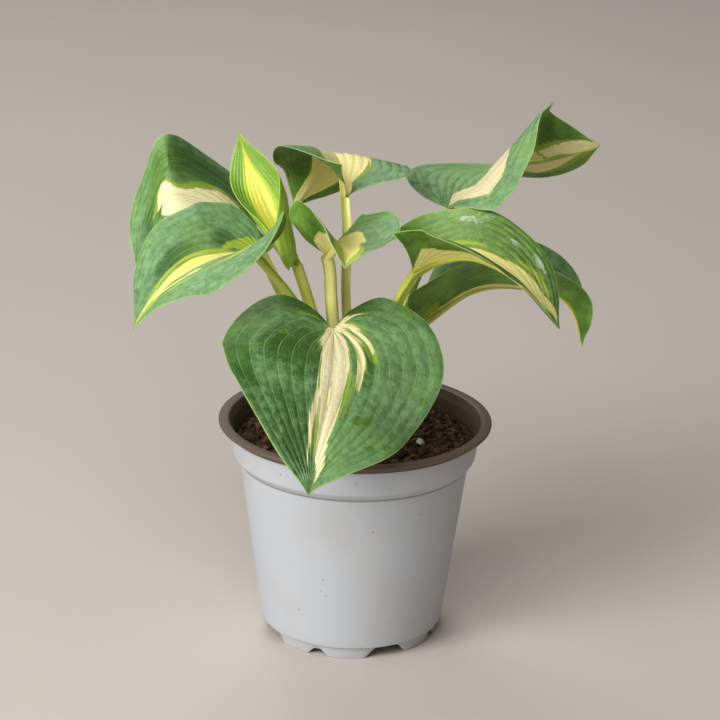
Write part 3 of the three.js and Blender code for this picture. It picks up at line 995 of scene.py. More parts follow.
@dataclass(frozen=True)
class Markings:
    """What colours a blade: bands of cream and of lime, patches of painted shade, blots, scuffs and water
    drops with painted glints.
    """

    cream: tuple[Band, ...]
    lime: tuple[Band, ...] = ()
    # painted shade: dark patches where the blade's slopes and lobes turn from the light
    painted_shades: tuple[Patch, ...] = ()
    blots: tuple[Patch, ...] = ()
    scuffs: tuple[Patch, ...] = ()
    # water drops, shown by pale rings of painted glint
    drops: tuple[Patch, ...] = ()
    halo: float = 0.018

    def fields(self, side: np.ndarray, travel: np.ndarray) -> dict[str, np.ndarray]:
        """Works out the mesh attributes that the blade's material reads.

        Args:
            side: From -1 on the left margin to 1 on the right.
            travel: From 0 at the stalk to 1 at the tip.

        Returns:
            The attributes by name.
        """

        def highest(shapes: tuple[Band | Patch, ...]) -> np.ndarray:
            """Gives the strongest field of several shapes, or -1 with none."""
            return np.maximum.reduce([np.full(side.shape, -1.0), *(s.field(side, travel) for s in shapes)])

        cream = highest(self.cream)
        return {
            "cream": cream,
            "lime": np.maximum(cream + self.halo, highest(self.lime)),
            # painted shade: 1 in the middle of a shade patch, 0 at its edge
            "shade": np.clip(highest(self.painted_shades), 0, 1),
            "blot": highest(self.blots),
            "drop": highest(self.drops),
            "scuff": np.sqrt(np.clip(highest(self.scuffs), 0, 1)),
        }


@dataclass(frozen=True)
class LeafForm:
    """The shape of one leaf, in millimetres and degrees.

    fold is the slope of each half at the midrib, and curl is how far it bends on towards the
    margin, each at the base, the middle and the tip. twist turns the blade about its midrib
    at the middle and the tip. gather is the share of its width that the blade keeps at the
    stalk. ripple is the height and the number of the margin's waves.
    """

    stalk_radius: float
    stalk: tuple[Point, ...]
    midrib: tuple[Point, ...]
    facing: Point
    twist: Pair
    half_width: Pair
    fold: tuple[Triple, Triple]
    curl: tuple[Triple, Triple]
    lobe: float
    lobe_lift: float = 0.0
    gather: float = 1.0
    ripple: Pair = (0.0, 1.0)


@dataclass
class Bearing:
    """Places along a path, each with the way ahead, the way up and the way right."""

    at: np.ndarray
    ahead: np.ndarray
    up: np.ndarray
    right: np.ndarray


@dataclass
class Midrib:
    """A leaf's midrib and the frame that the blade hangs on."""

    form: LeafForm
    samples: int = 64

    def __post_init__(self) -> None:
        """Samples the midrib, carries the upper face's direction along it and twists it."""
        share = np.linspace(0, 1, self.samples + 1)
        points = np.array(self.form.midrib, float)
        self.at, self.ahead = spline(points, share), ways_along(points, share)
        steps = np.linalg.norm(np.diff(self.at, axis=0), axis=1)
        self.distance = np.concatenate([[0], np.cumsum(steps)])
        self.length = float(self.distance[-1])
        up = carried(np.array(self.form.facing, float), self.ahead)
        turn = np.radians(along((0.0, *self.form.twist), self.distance / self.length))[:, None]
        self.up = up * np.cos(turn) + np.cross(self.ahead, up) * np.sin(turn)

    def bearing(self, distance: np.ndarray) -> Bearing:
        """Finds places at these distances from the stalk; behind it the midrib runs straight on.

        Args:
            distance: Any shape of distances, in millimetres.

        Returns:
            The places, with one more axis than the distances.
        """
        flat = distance.ravel()
        inside = np.clip(flat, 0, self.length)

        def sample(rows: np.ndarray) -> np.ndarray:
            """Reads rows between the midrib's samples."""
            return np.stack([np.interp(inside, self.distance, rows[:, k]) for k in range(3)], -1)

        at, ahead, up = sample(self.at), unit(sample(self.ahead)), sample(self.up)
        up = unit(up - np.sum(up * ahead, -1, keepdims=True) * ahead)
        behind = np.minimum(flat, 0)[:, None]
        at = at + ahead * behind + up * (self.form.lobe_lift * behind**2 / self.length)
        shape = distance.shape + (3,)
        return Bearing(*(rows.reshape(shape) for rows in (at, ahead, up, np.cross(ahead, up))))


@dataclass
class Blade:
    """The thin, veined blade of one leaf.

    Its heights are in millimetres. relief_width is the half width on which the tissue stands
    at its full height. billow_waves and crimp_waves are how fast their waves run across and
    along, in radians.
    """

    form: LeafForm
    midrib: Midrib
    markings: Markings
    half_columns: int = 4 * VEINS_PER_HALF
    rows: int = 110
    start: float = 0.005
    end: float = 0.996
    thickness: float = 0.6
    rim_thinning: float = 0.55
    vein_sweep: float = 1.6
    vein_start: float = 1.25
    gather_end: float = 0.55
    left_ripple_lead: float = 1.3
    relief_width: float = 52.0
    vein_depth: float = 0.15
    vein_level: float = 0.6
    pucker: float = 0.05
    pucker_rate: float = 150
    pucker_stagger: float = 2.1
    billow: float = 0.55
    billow_waves: tuple[Pair, Pair] = ((4.1, 9.3), (-5.9, 13.7))
    crimp: float = 0.4
    crimp_waves: Pair = (2, 52)
    end_fade: float = 0.6

    def middle_surface(self, side: np.ndarray, travel: np.ndarray) -> np.ndarray:
        """Works out the surface half way through the blade.

        Args:
            side: From -1 on the left margin to 1 on the right, as a grid.
            travel: From 0 at the stalk to 1 at the tip along each side's vein, as a grid.

        Returns:
            A grid of places in millimetres.
        """
        form, left = self.form, side < 0
        margin = spline(HEART, travel[:, 0])
        margin_out, margin_up = margin[:, :1], margin[:, 1:]
        margin_up = np.where(margin_up < 0, margin_up * form.lobe, margin_up)
        sweep = np.abs(side) ** self.vein_sweep
        distance = (travel**self.vein_start * (1 - sweep) + margin_up * sweep) * self.midrib.length
        share = distance / self.midrib.length
        spread = 1 - (1 - form.gather) * np.clip(1 - share / self.gather_end, 0, 1) ** 2
        width = np.where(left, *form.half_width) * spread
        fold, curl = (
            np.radians(np.where(left, along(turns[0], share), along(turns[1], share)))
            for turns in (form.fold, form.curl)
        )
        bend = curl / width
        bend = np.where(np.abs(bend) < NEARLY_FLAT, NEARLY_FLAT, bend)
        slope = fold + bend * np.abs(side) * margin_out * width
        bearing = self.midrib.bearing(distance)
        outward = bearing.right * np.where(left, -1, 1)[..., None]
        surface = (
            bearing.at
            + outward * ((np.sin(slope) - np.sin(fold)) / bend)[..., None]
            + bearing.up * ((np.cos(fold) - np.cos(slope)) / bend)[..., None]
        )
        height, waves = form.ripple
        phase = 2 * math.pi * waves * travel + np.where(left, self.left_ripple_lead, 0)
        rise = height * np.sin(phase) * side**2 * np.sin(math.pi * travel)
        lean = -outward * np.sin(slope)[..., None] + bearing.up * np.cos(slope)[..., None]
        return surface + lean * rise[..., None]

    def relief(self, side: np.ndarray, travel: np.ndarray) -> np.ndarray:
        """Gives the height of the tissue over the smooth blade, in millimetres.

        It swells between the sunken veins, billows gently and crimps along the margins.

        Args:
            side: From -1 on the left margin to 1 on the right, as a grid.
            travel: From 0 at the stalk to 1 at the tip, as a grid.

        Returns:
            A grid of heights.
        """
        out = np.abs(side)
        step = out * VEINS_PER_HALF
        off = np.abs(step - np.round(step)) * 2
        swell = self.vein_depth * (np.sin(off * math.pi / 2) - self.vein_level)
        quilting = np.sin(travel * self.pucker_rate + np.floor(step) * self.pucker_stagger) * off
        waves = [np.sin(across * side + ahead * travel) for across, ahead in self.billow_waves]
        body = swell + self.pucker * quilting + self.billow * waves[0] * waves[1]
        body *= np.sin(math.pi * travel) ** self.end_fade * (1 - out**10)
        across, ahead = self.crimp_waves
        frill = np.sin(across * side + ahead * travel) * out**5 * np.sin(math.pi * travel)
        return (body + self.crimp * frill) * np.where(side < 0, *self.form.half_width) / self.relief_width

    def normals(self, surface: np.ndarray) -> np.ndarray:
        """Finds a surface's normals, with the midrib's own at the two ends.

        Args:
            surface: A grid of places.

        Returns:
            A grid of unit normals.
        """
        normal = unit(np.cross(np.gradient(surface, axis=1), np.gradient(surface, axis=0)))
        normal[0], normal[-1] = self.midrib.bearing(np.array([0.0, self.midrib.length])).up
        return normal

    def add_to(self, draft: MeshDraft) -> None:
        """Adds both faces of the blade and its rim to a mesh draft.

        Args:
            draft: The leaf's draft.
        """
        middle = self.half_columns
        sides, travels = np.linspace(-1, 1, 2 * middle + 1), np.linspace(self.start, self.end, self.rows + 1)
        side, travel = np.meshgrid(sides, travels)
        surface = self.middle_surface(side, travel)
        normal = self.normals(surface)
        surface = surface + normal * self.relief(side, travel)[..., None]
        half = self.thickness / 2 * (1 - self.rim_thinning * np.abs(side) ** 6)[..., None]
        span = np.linalg.norm(surface - surface[:, middle : middle + 1], axis=-1)
        margin = (np.where(side < 0, span[:, :1], span[:, -1:]) - span) * MM
        fields = {"side": side, "travel": travel, "margin": margin, **self.markings.fields(side, travel)}
        rows, columns = side.shape
        layer = side.size
        faces = []
        for quad in lattice(rows, columns, closed=False, flipped=True):
            faces += [quad, tuple(layer + corner for corner in reversed(quad))]
        grid = np.arange(layer).reshape(rows, columns)
        border = np.concatenate([grid[0, :-1], grid[:-1, -1], grid[-1, :0:-1], grid[:0:-1, 0]]).tolist()
        for a, b in zip(border, border[1:] + border[:1]):
            faces.append((b, a, layer + a, layer + b))
        both = {name: np.tile(values.ravel(), 2) for name, values in fields.items()}
        both["upper"] = np.repeat([1.0, 0.0], layer)
        points = np.vstack([(surface + normal * way * half).reshape(-1, 3) for way in (1, -1)])
        draft.add(points, faces, LeafSide.BLADE, both)


@dataclass
class Stalk:
    """A leaf's channelled stalk, from its foot in the soil on into the rib under the blade.

    rib_reach is the share of the midrib that the rib runs along, rib_depth how far its middle
    lies under the blade, in its radius, and rib_closing how fast the gutter closes.
    """

    form: LeafForm
    midrib: Midrib
    foot_z: float = 84.0
    rings: int = 70
    rib_rings: int = 40
    rib_reach: float = 0.7
    rib_tip_radius: float = 0.35
    rib_thinning: float = 0.7
    rib_depth: float = 0.4
    rib_closing: float = 3
    sheath_spread: float = 0.05
    section_corners: int = 36

    def sections(self) -> tuple[Bearing, np.ndarray, np.ndarray]:
        """Places the stalk's cross-sections.

        Returns:
            Where each section lies, its radius, and how far its gutter has closed to a rib.
        """
        radius = self.form.stalk_radius
        joint = self.midrib.bearing(np.array([0.0]))
        foot = (*self.form.stalk[0][:2], self.foot_z)
        route = np.array([foot, *self.form.stalk, joint.at[0] - joint.up[0] * radius / 2])
        share = np.linspace(0, 1, self.rings)
        ways = ways_along(route, share)
        up = carried(turned_from(joint.ahead[0], ways[-1], joint.up[0]), ways[::-1])[::-1]
        ways[-1], up[-1] = unit(ways[-1] + joint.ahead[0]), unit(up[-1] + joint.up[0])
        out = np.arange(1, self.rib_rings + 1) / self.rib_rings
        rib = self.midrib.bearing(out * self.rib_reach * self.midrib.length)
        thin = radius + (self.rib_tip_radius - radius) * out**self.rib_thinning
        at = np.vstack([spline(route, share), rib.at - rib.up * self.rib_depth * thin[:, None]])
        ahead, above = np.vstack([ways, rib.ahead]), np.vstack([up, rib.up])
        wide = np.concatenate([radius * (1 + self.sheath_spread * (1 - share) ** 2), thin])
        closed = np.concatenate([np.zeros(self.rings), np.minimum(1, out * self.rib_closing)])
        right = unit(np.cross(ahead, above))
        return Bearing(at, ahead, unit(np.cross(right, ahead)), right), wide, closed

    def add_to(self, draft: MeshDraft) -> None:
        """Adds the stalk and its rib to a mesh draft.

        Args:
            draft: The leaf's draft.
        """
        gutter, rib = (closed_spline(shape, self.section_corners) for shape in (GUTTER_SECTION, RIB_SECTION))
        where, wide, closed = self.sections()
        outline = gutter + (rib - gutter) * closed[:, None, None]
        reach = outline[..., :1] * where.right[:, None] + outline[..., 1:] * where.up[:, None]
        points = where.at[:, None] + reach * wide[:, None, None]
        count = len(wide)
        fields = {
            "side": outline[..., 0],
            "travel": np.repeat(np.arange(count) / count, self.section_corners),
        }
        draft.add(points.reshape(-1, 3), tube_faces(count, self.section_corners), LeafSide.STALK, fields)


@dataclass(frozen=True)
class Leaf:
    """One leaf of the plant: its form, its markings and its finishes."""

    node: str
    form: LeafForm
    markings: Markings
    blade: BladeFinish = BladeFinish()
    stalk: StalkFinish = StalkFinish()
    slot: LeafSlot = LeafSlot.GROWN

    def build(self, seed: float, groups: Groups) -> bpy.types.Object:
        """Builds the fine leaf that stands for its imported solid.

        Args:
            seed: A number that gives this leaf streaks of its own.
            groups: The shared node groups.

        Returns:
            The leaf's object.
        """
        midrib, draft = Midrib(self.form), MeshDraft()
        Blade(self.form, midrib, self.markings).add_to(draft)
        Stalk(self.form, midrib).add_to(draft)
        name = self.node.replace("leaf", "hosta")
        materials = [self.blade.build(f"{name}_blade", seed, groups), self.stalk.build(f"{name}_stalk")]
        piece = draft.build(name, materials, crease=60)
        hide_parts(self.node)
        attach(piece, ROOT)
        return piece


LEAVES: tuple[Leaf, ...] = (
    Leaf(
        "leaf_front",
        LeafForm(
            stalk_radius=3, stalk=((0, -15, 98), (-3, -19, 128), (-8, -25, 151)),
            midrib=((-11, -29, 161), (-10, -51, 156), (-12, -70, 143), (-16, -88, 127), (-20, -105, 110)),
            facing=(0.05, -0.2, 1), twist=(-13, -5), half_width=(53, 52),
            fold=((18, -6, 23), (10, 14, 18)), curl=((-40, -29, -3), (-21, -45, 12)), lobe=1.4,
            lobe_lift=0.2, ripple=(1.5, 2),
        ),
        Markings(
            cream=bands(
                (
                    (0, -0.5, 0.55), (0.05, -0.38, 0.5), (0.1, -0.3, 0.38), (0.15, -0.22, 0.26),
                    (0.3, -0.15, 0.16), (0.5, -0.13, 0.12), (0.7, -0.15, 0.09), (0.76, -0.17, 0.09),
                    (0.81, -0.25, 0.08), (0.86, -0.44, 0.02), (0.92, -0.54, -0.4),
                ),
                ((0.05, -0.62, -0.42), (0.15, -0.5, -0.42), (0.25, -0.42, -0.36), (0.33, -0.38, -0.37)),
                ((0.06, -0.45, -0.32), (0.2, -0.32, -0.25), (0.4, -0.27, -0.22), (0.49, -0.25, -0.24)),
                ((0.08, -0.85, -0.5), (0.1, -0.82, -0.6), (0.14, -0.78, -0.72), (0.18, -0.75, -0.74)),
                (
                    (0.4, 0, 0.04), (0.55, 0.06, 0.13), (0.66, 0.12, 0.2), (0.78, 0.2, 0.3),
                    (0.87, 0.38, 0.4),
                ),
            ),
            lime=bands(
                ((0.06, -0.7, -0.45), (0.14, -0.58, -0.38), (0.24, -0.46, -0.33), (0.37, -0.42, -0.36)),
                ((0.25, -0.2, -0.15), (0.5, -0.2, -0.13), (0.63, -0.2, -0.16)),
                ((0.1, 0.7, 0.78), (0.18, 0.7, 0.76)),
                ((0.55, 0.08, 0.14), (0.68, 0.06, 0.14), (0.78, 0.07, 0.2), (0.86, 0.02, 0.1)),
            ),
            # painted shade on the lobes and the slopes that turn from the light
            painted_shades=patches(
                (0.5, 0.72, 0.5, 0.26), (0.9, 0.12, 0.5, 0.14), (-0.95, 0.1, 0.45, 0.12),
                (0.4, 0.35, 0.5, 0.3), (0.9, 0.55, 0.3, 0.4), (-0.28, 0.36, 0.14, 0.16),
            ),
            blots=patches(
                (-0.36, 0.63, 0.1, 0.04), (-0.47, 0.61, 0.09, 0.035), (-0.75, 0.7, 0.12, 0.025),
                (-0.88, 0.67, 0.08, 0.02), (-0.9, 0.5, 0.07, 0.025), (-0.6, 0.55, 0.025, 0.01),
                (-0.62, 0.66, 0.03, 0.012), (-0.7, 0.62, 0.02, 0.01), (0.55, 0.3, 0.07, 0.03),
                (0.3, 0.62, 0.04, 0.02),
            ),
        ),
    ),
    Leaf(
        "leaf_centre",
        LeafForm(
            stalk_radius=2.9, stalk=((-2, -7, 98), (-8, -7, 128), (-12, -5, 165), (-13, -4, 180)),
            midrib=((-15, -4, 189), (-11, -12, 195), (-9, -26, 199), (-6, -41, 201), (-6, -57, 199)),
            facing=(-0.05, -0.13, 1), twist=(-10, -7), half_width=(32, 28),
            fold=((28, 5, 28), (64, 59, 55)), curl=((3, -1, -35), (0, 0, 0)), lobe=0.5,
        ),
        Markings(
            cream=bands((
                (0, -0.9, 0.9), (0.2, -0.8, 0.7), (0.26, -0.64, 0.55), (0.35, -0.48, 0.35),
                (0.45, -0.4, 0.26), (0.56, -0.42, 0.22), (0.6, -0.33, 0.2), (0.72, -0.4, 0.2),
                (0.8, -0.5, 0.25), (1, -0.4, 0.4),
            )),
            lime=bands(((0.6, -0.2, 0.3), (0.75, -0.6, 0.8), (0.85, -1, 1), (1, -1, 1))),
        ),
        blade=YELLOW_BLADE,
    ),
    Leaf(
        "leaf_back",
        LeafForm(
            stalk_radius=2.2, stalk=((2, 9, 98), (-3, 10, 130), (-6, 12, 165), (-6, 15, 192)),
            midrib=((-7, 20, 210), (-11, 35, 224), (-17, 51, 222), (-23, 59, 208), (-32, 60, 192)),
            facing=(0.2, -0.2, 0.95), twist=(0, 5), half_width=(33, 34), fold=((75, 6, 30), (56, -3, 15)),
            curl=((-20, -44, 0), (-36, -53, 7)), lobe=0, ripple=(1.2, 2.5),
        ),
        Markings(
            cream=bands((
                (0, -1, 1), (0.08, -1, 0.8), (0.15, -1, 0.42), (0.3, -0.6, 0.42), (0.4, -0.4, 0.46),
                (0.55, -0.3, 0.4), (0.65, -0.22, 0.5), (0.75, -0.18, 0.75), (0.85, -0.4, 0.7),
                (0.93, -0.9, 0.6), (1, -1, 1),
            )),
            lime=bands(((0.2, 0.3, 0.5), (0.35, 0.4, 0.52), (0.45, 0.4, 0.5))),
        ),
        blade=WARM_BLADE,
    ),
    Leaf(
        "leaf_young",
        LeafForm(
            stalk_radius=2.6, stalk=((-5, 1, 98), (-13, 5, 128), (-21, 9, 155)),
            midrib=((-29, 14, 177), (-37, 18, 191), (-45, 23, 206), (-52, 28, 222), (-58, 29, 238)),
            facing=(-0.16, -0.98, 0.1), twist=(10, -30), half_width=(21, 30),
            fold=((34, 14, 2), (31, 5, 20)), curl=((130, 105, 41), (150, 135, 20)), lobe=-0.3, gather=0.5,
        ),
        Markings(
            cream=bands((
                (0.2, -0.05, 0.05), (0.34, -0.25, 0.16), (0.5, -0.3, 0.12), (0.68, -0.42, 0.18),
                (0.8, -0.38, 0.1), (0.95, -0.2, 0.05), (1, -0.3, 0.3),
            )),
            lime=bands(((0.4, -0.36, 0.24), (0.7, -0.5, 0.26), (0.9, -0.45, 0.15), (1, -1, 1))),
        ),
        blade=YOUNG_BLADE, stalk=GREEN_STALK, slot=LeafSlot.YOUNG,
    ),
    Leaf(
        "leaf_left_front",
        LeafForm(
            stalk_radius=2.8, stalk=((-11, -7, 98), (-16, -7, 128), (-26, -7, 162)),
            midrib=((-46, -8, 190), (-62, -19, 191), (-77, -26, 189), (-91, -34, 179), (-102, -42, 163)),
            facing=(0.07, -0.1, 1), twist=(-4, 11), half_width=(34, 35), fold=((60, 23, 9), (21, 22, -7)),
            curl=((4, -51, 24), (8, -14, -15)), lobe=0.5,
        ),
        Markings(
            cream=bands(
                (
                    (0, -0.25, 0.2), (0.2, -0.1, 0.1), (0.36, -0.08, 0.07), (0.44, -0.22, 0.06),
                    (0.52, -0.22, 0.06), (0.65, -0.24, 0.06), (0.76, -0.28, 0.04), (0.85, -0.2, 0.12),
                    (0.93, -0.05, 0.3),
                ),
                ((0.55, -0.36, -0.31), (0.7, -0.4, -0.36), (0.8, -0.36, -0.3)),
            ),
            lime=bands(
                ((0.35, -0.6, -0.4), (0.5, -0.45, -0.38), (0.62, -0.46, -0.4), (0.75, -0.52, -0.48)),
                (
                    (0.1, 0.2, 0.95), (0.16, 0.2, 0.85), (0.24, 0.2, 0.5), (0.34, 0.1, 0.2),
                    (0.85, 0.08, 0.16),
                ),
                ((0.8, -0.5, -0.2), (0.88, -0.6, 0.2), (0.97, -1, 0.6)),
            ),
            # painted shade on the slopes that turn from the light
            painted_shades=patches((0.35, 0.3, 0.3, 0.14), (0.3, 0.6, 0.25, 0.2)),
            # painted highlight: pale rings where water drops sit
            drops=patches((-0.7, 0.62, 0.08, 0.03), (-0.33, 0.63, 0.08, 0.03), (0.0, 0.73, 0.08, 0.03)),
        ),
        blade=YELLOW_BLADE, stalk=GREEN_STALK,
    ),
    Leaf(
        "leaf_left_back",
        LeafForm(
            stalk_radius=2.6, stalk=((-11, 8, 98), (-20, 12, 128), (-37, 18, 163)),
            midrib=((-50, 22, 189), (-71, 31, 202), (-90, 27, 207), (-95, 36, 193), (-107, 35, 169)),
            facing=(0.03, -0.5, 0.85), twist=(13, -39), half_width=(18, 40),
            fold=((6, 10, 0), (-35, 3, 40)), curl=((-10, -10, 0), (-58, 14, -55)), lobe=0.4,
            ripple=(2.3, 2.15),
        ),
        Markings(
            cream=bands(
                (
                    (0, -0.25, 0.25), (0.3, -0.4, 0.3), (0.38, -0.5, 0.4), (0.44, -0.8, 0.22),
                    (0.5, -1, 0.1), (0.56, -1, 0.13), (0.6, -1, 0.24), (0.64, -0.35, 0.34),
                    (0.69, 0.04, 0.36), (0.73, 0.16, 0.22),
                ),
                ((0.36, 0.3, 0.5), (0.42, 0.3, 0.36)),
            ),
            lime=bands(
                ((0.26, 0.3, 0.55), (0.36, 0.36, 0.6), (0.42, 0.2, 0.5), (0.5, 0.05, 0.24)),
                ((0.56, 0.1, 0.2), (0.62, 0.2, 0.34), (0.7, 0.3, 0.42), (0.76, 0.2, 0.3)),
            ),
            # painted shade on the far half and the upper lobe
            painted_shades=patches((0.6, 0.5, 0.5, 0.3), (0.3, 0.75, 0.5, 0.2)),
        ),
        blade=BRIGHT_BLADE,
    ),
    Leaf(
        "leaf_top_right",
        LeafForm(
            stalk_radius=2.6, stalk=((10, 9, 98), (15, 13, 132), (27, 22, 170)),
            midrib=((42, 40, 200), (62, 55, 210), (78, 67, 216), (96, 78, 216), (117, 77, 223)),
            facing=(-0.54, 0, 0.84), twist=(-12, -56), half_width=(34, 47),
            fold=((48, 17, -8), (13, 50, 64)), curl=((-11, -7, -5), (-39, -68, 0)), lobe=0.3,
        ),
        Markings(
            cream=bands(
                (
                    (0, -0.3, 0.3), (0.12, -0.4, 0.55), (0.2, -0.3, 0.74), (0.26, -0.14, 0.8),
                    (0.33, 0.0, 0.82), (0.4, 0.1, 0.76), (0.47, 0.0, 0.55), (0.6, -0.06, 0.2),
                    (0.7, -0.06, 0.1),
                ),
                ((0.72, -0.75, -0.3), (0.8, -0.55, -0.15), (0.87, -0.4, -0.2)),
                ((0.75, 0, 0.25), (0.82, 0.1, 0.5), (0.89, -0.1, 0.8), (0.94, -0.6, 0.9), (1, -1, 1)),
            ),
            lime=bands(((0.72, -0.8, 0.3), (0.85, -0.7, 0.7), (1, -1, 1))),
            blots=patches((0.86, 0.2, 0.1, 0.06)),
        ),
        blade=DULL_BLADE,
    ),
    Leaf(
        "leaf_right_front",
        LeafForm(
            stalk_radius=2.8, stalk=((9, -7, 98), (12, -5, 130), (17, -3, 162)),
            midrib=((25, -10, 183), (38, -9, 189), (54, -13, 191), (73, -18, 182), (93, -28, 163)),
            facing=(-0.25, -0.33, 0.9), twist=(11, 13), half_width=(32, 34),
            fold=((12, 11, 11), (82, 70, 67)), curl=((-7, -29, -16), (-13, -31, -26)), lobe=-0.15,
        ),
        Markings(
            cream=bands((
                (0, -0.7, 0.95), (0.06, -0.5, 0.8), (0.15, -0.3, 0.68), (0.26, -0.2, 0.6),
                (0.36, -0.16, 0.25), (0.5, -0.19, 0.14), (0.6, -0.22, 0.12), (0.7, -0.36, 0.12),
                (0.8, -0.5, 0.12), (0.86, -0.82, 0.1), (0.9, -0.9, -0.6),
            )),
            # painted shade on the slopes that turn from the light
            painted_shades=patches((-0.95, 0.8, 0.3, 0.2), (0.6, 0.6, 0.7, 0.4)),
            lime=bands(
                ((0.28, -0.3, -0.16), (0.38, -0.32, -0.22), (0.5, -0.26, -0.2)),
                ((0.64, -0.4, -0.3), (0.72, -0.6, -0.44), (0.79, -0.72, -0.62)),
                ((0.02, 0.7, 1), (0.12, 0.66, 0.74)),
            ),
            scuffs=patches(
                (-0.72, 0.47, 0.16, 0.07), (-0.85, 0.52, 0.12, 0.05), (-0.6, 0.6, 0.12, 0.05),
                (-0.75, 0.7, 0.14, 0.06), (-0.55, 0.77, 0.1, 0.05),
            ),
        ),
        blade=GLOSSY_BLADE, stalk=GREEN_STALK,
    ),
    Leaf(
        "leaf_right_back",
        LeafForm(
            stalk_radius=2.6, stalk=((14, 1, 98), (17, 5, 120), (24, 12, 141)),
            midrib=((31, 18, 150), (55, 24, 164), (79, 29, 164), (100, 35, 155), (110, 41, 131)),
            facing=(-0.25, -0.04, 0.97), twist=(25, 16), half_width=(31, 30),
            fold=((0, 40, 30), (62, 74, 50)), curl=((-35, -22, -7), (-20, -13, -21)), lobe=0.2,
        ),
        Markings(
            cream=bands((
                (0, -0.5, 0.6), (0.08, -0.2, 0.3), (0.2, -0.07, 0.1), (0.5, -0.05, 0.07),
                (0.8, -0.08, 0.09), (0.88, -0.25, 0.3), (0.95, -0.5, 0.5), (1, -1, 1),
            )),
            lime=bands(
                ((0, -0.9, 1), (0.08, -0.5, 0.8), (0.14, 0.1, 0.6), (0.2, 0.3, 0.5)),
                ((0.86, -0.3, 0.4), (0.94, -0.6, 0.5), (1, -1, 1)),
            ),
        ),
        stalk=GREEN_STALK,
    ),
)


# ---- pot -------------------------------------------------------------------------------


@dataclass(frozen=True)
class Notch:
    """A trapezoid cut out of the foot ring, its spreads in degrees."""

    angle: float
    foot_spread: float
    top_spread: float
    height: float

    def rise(self, angle: float, turn: float) -> float:
        """Tells how high the notch lifts the ring's foot.

        Args:
            angle: The place on the ring, in degrees from the front.
            turn: How far the notch's set is turned round.

        Returns:
            The height, in millimetres.
        """
        off = abs((angle - self.angle - turn + 180) % 360 - 180)
        slope = (self.foot_spread - self.top_spread) / 2
        return self.height * min(1.0, max(0.0, (self.foot_spread / 2 - off) / slope))


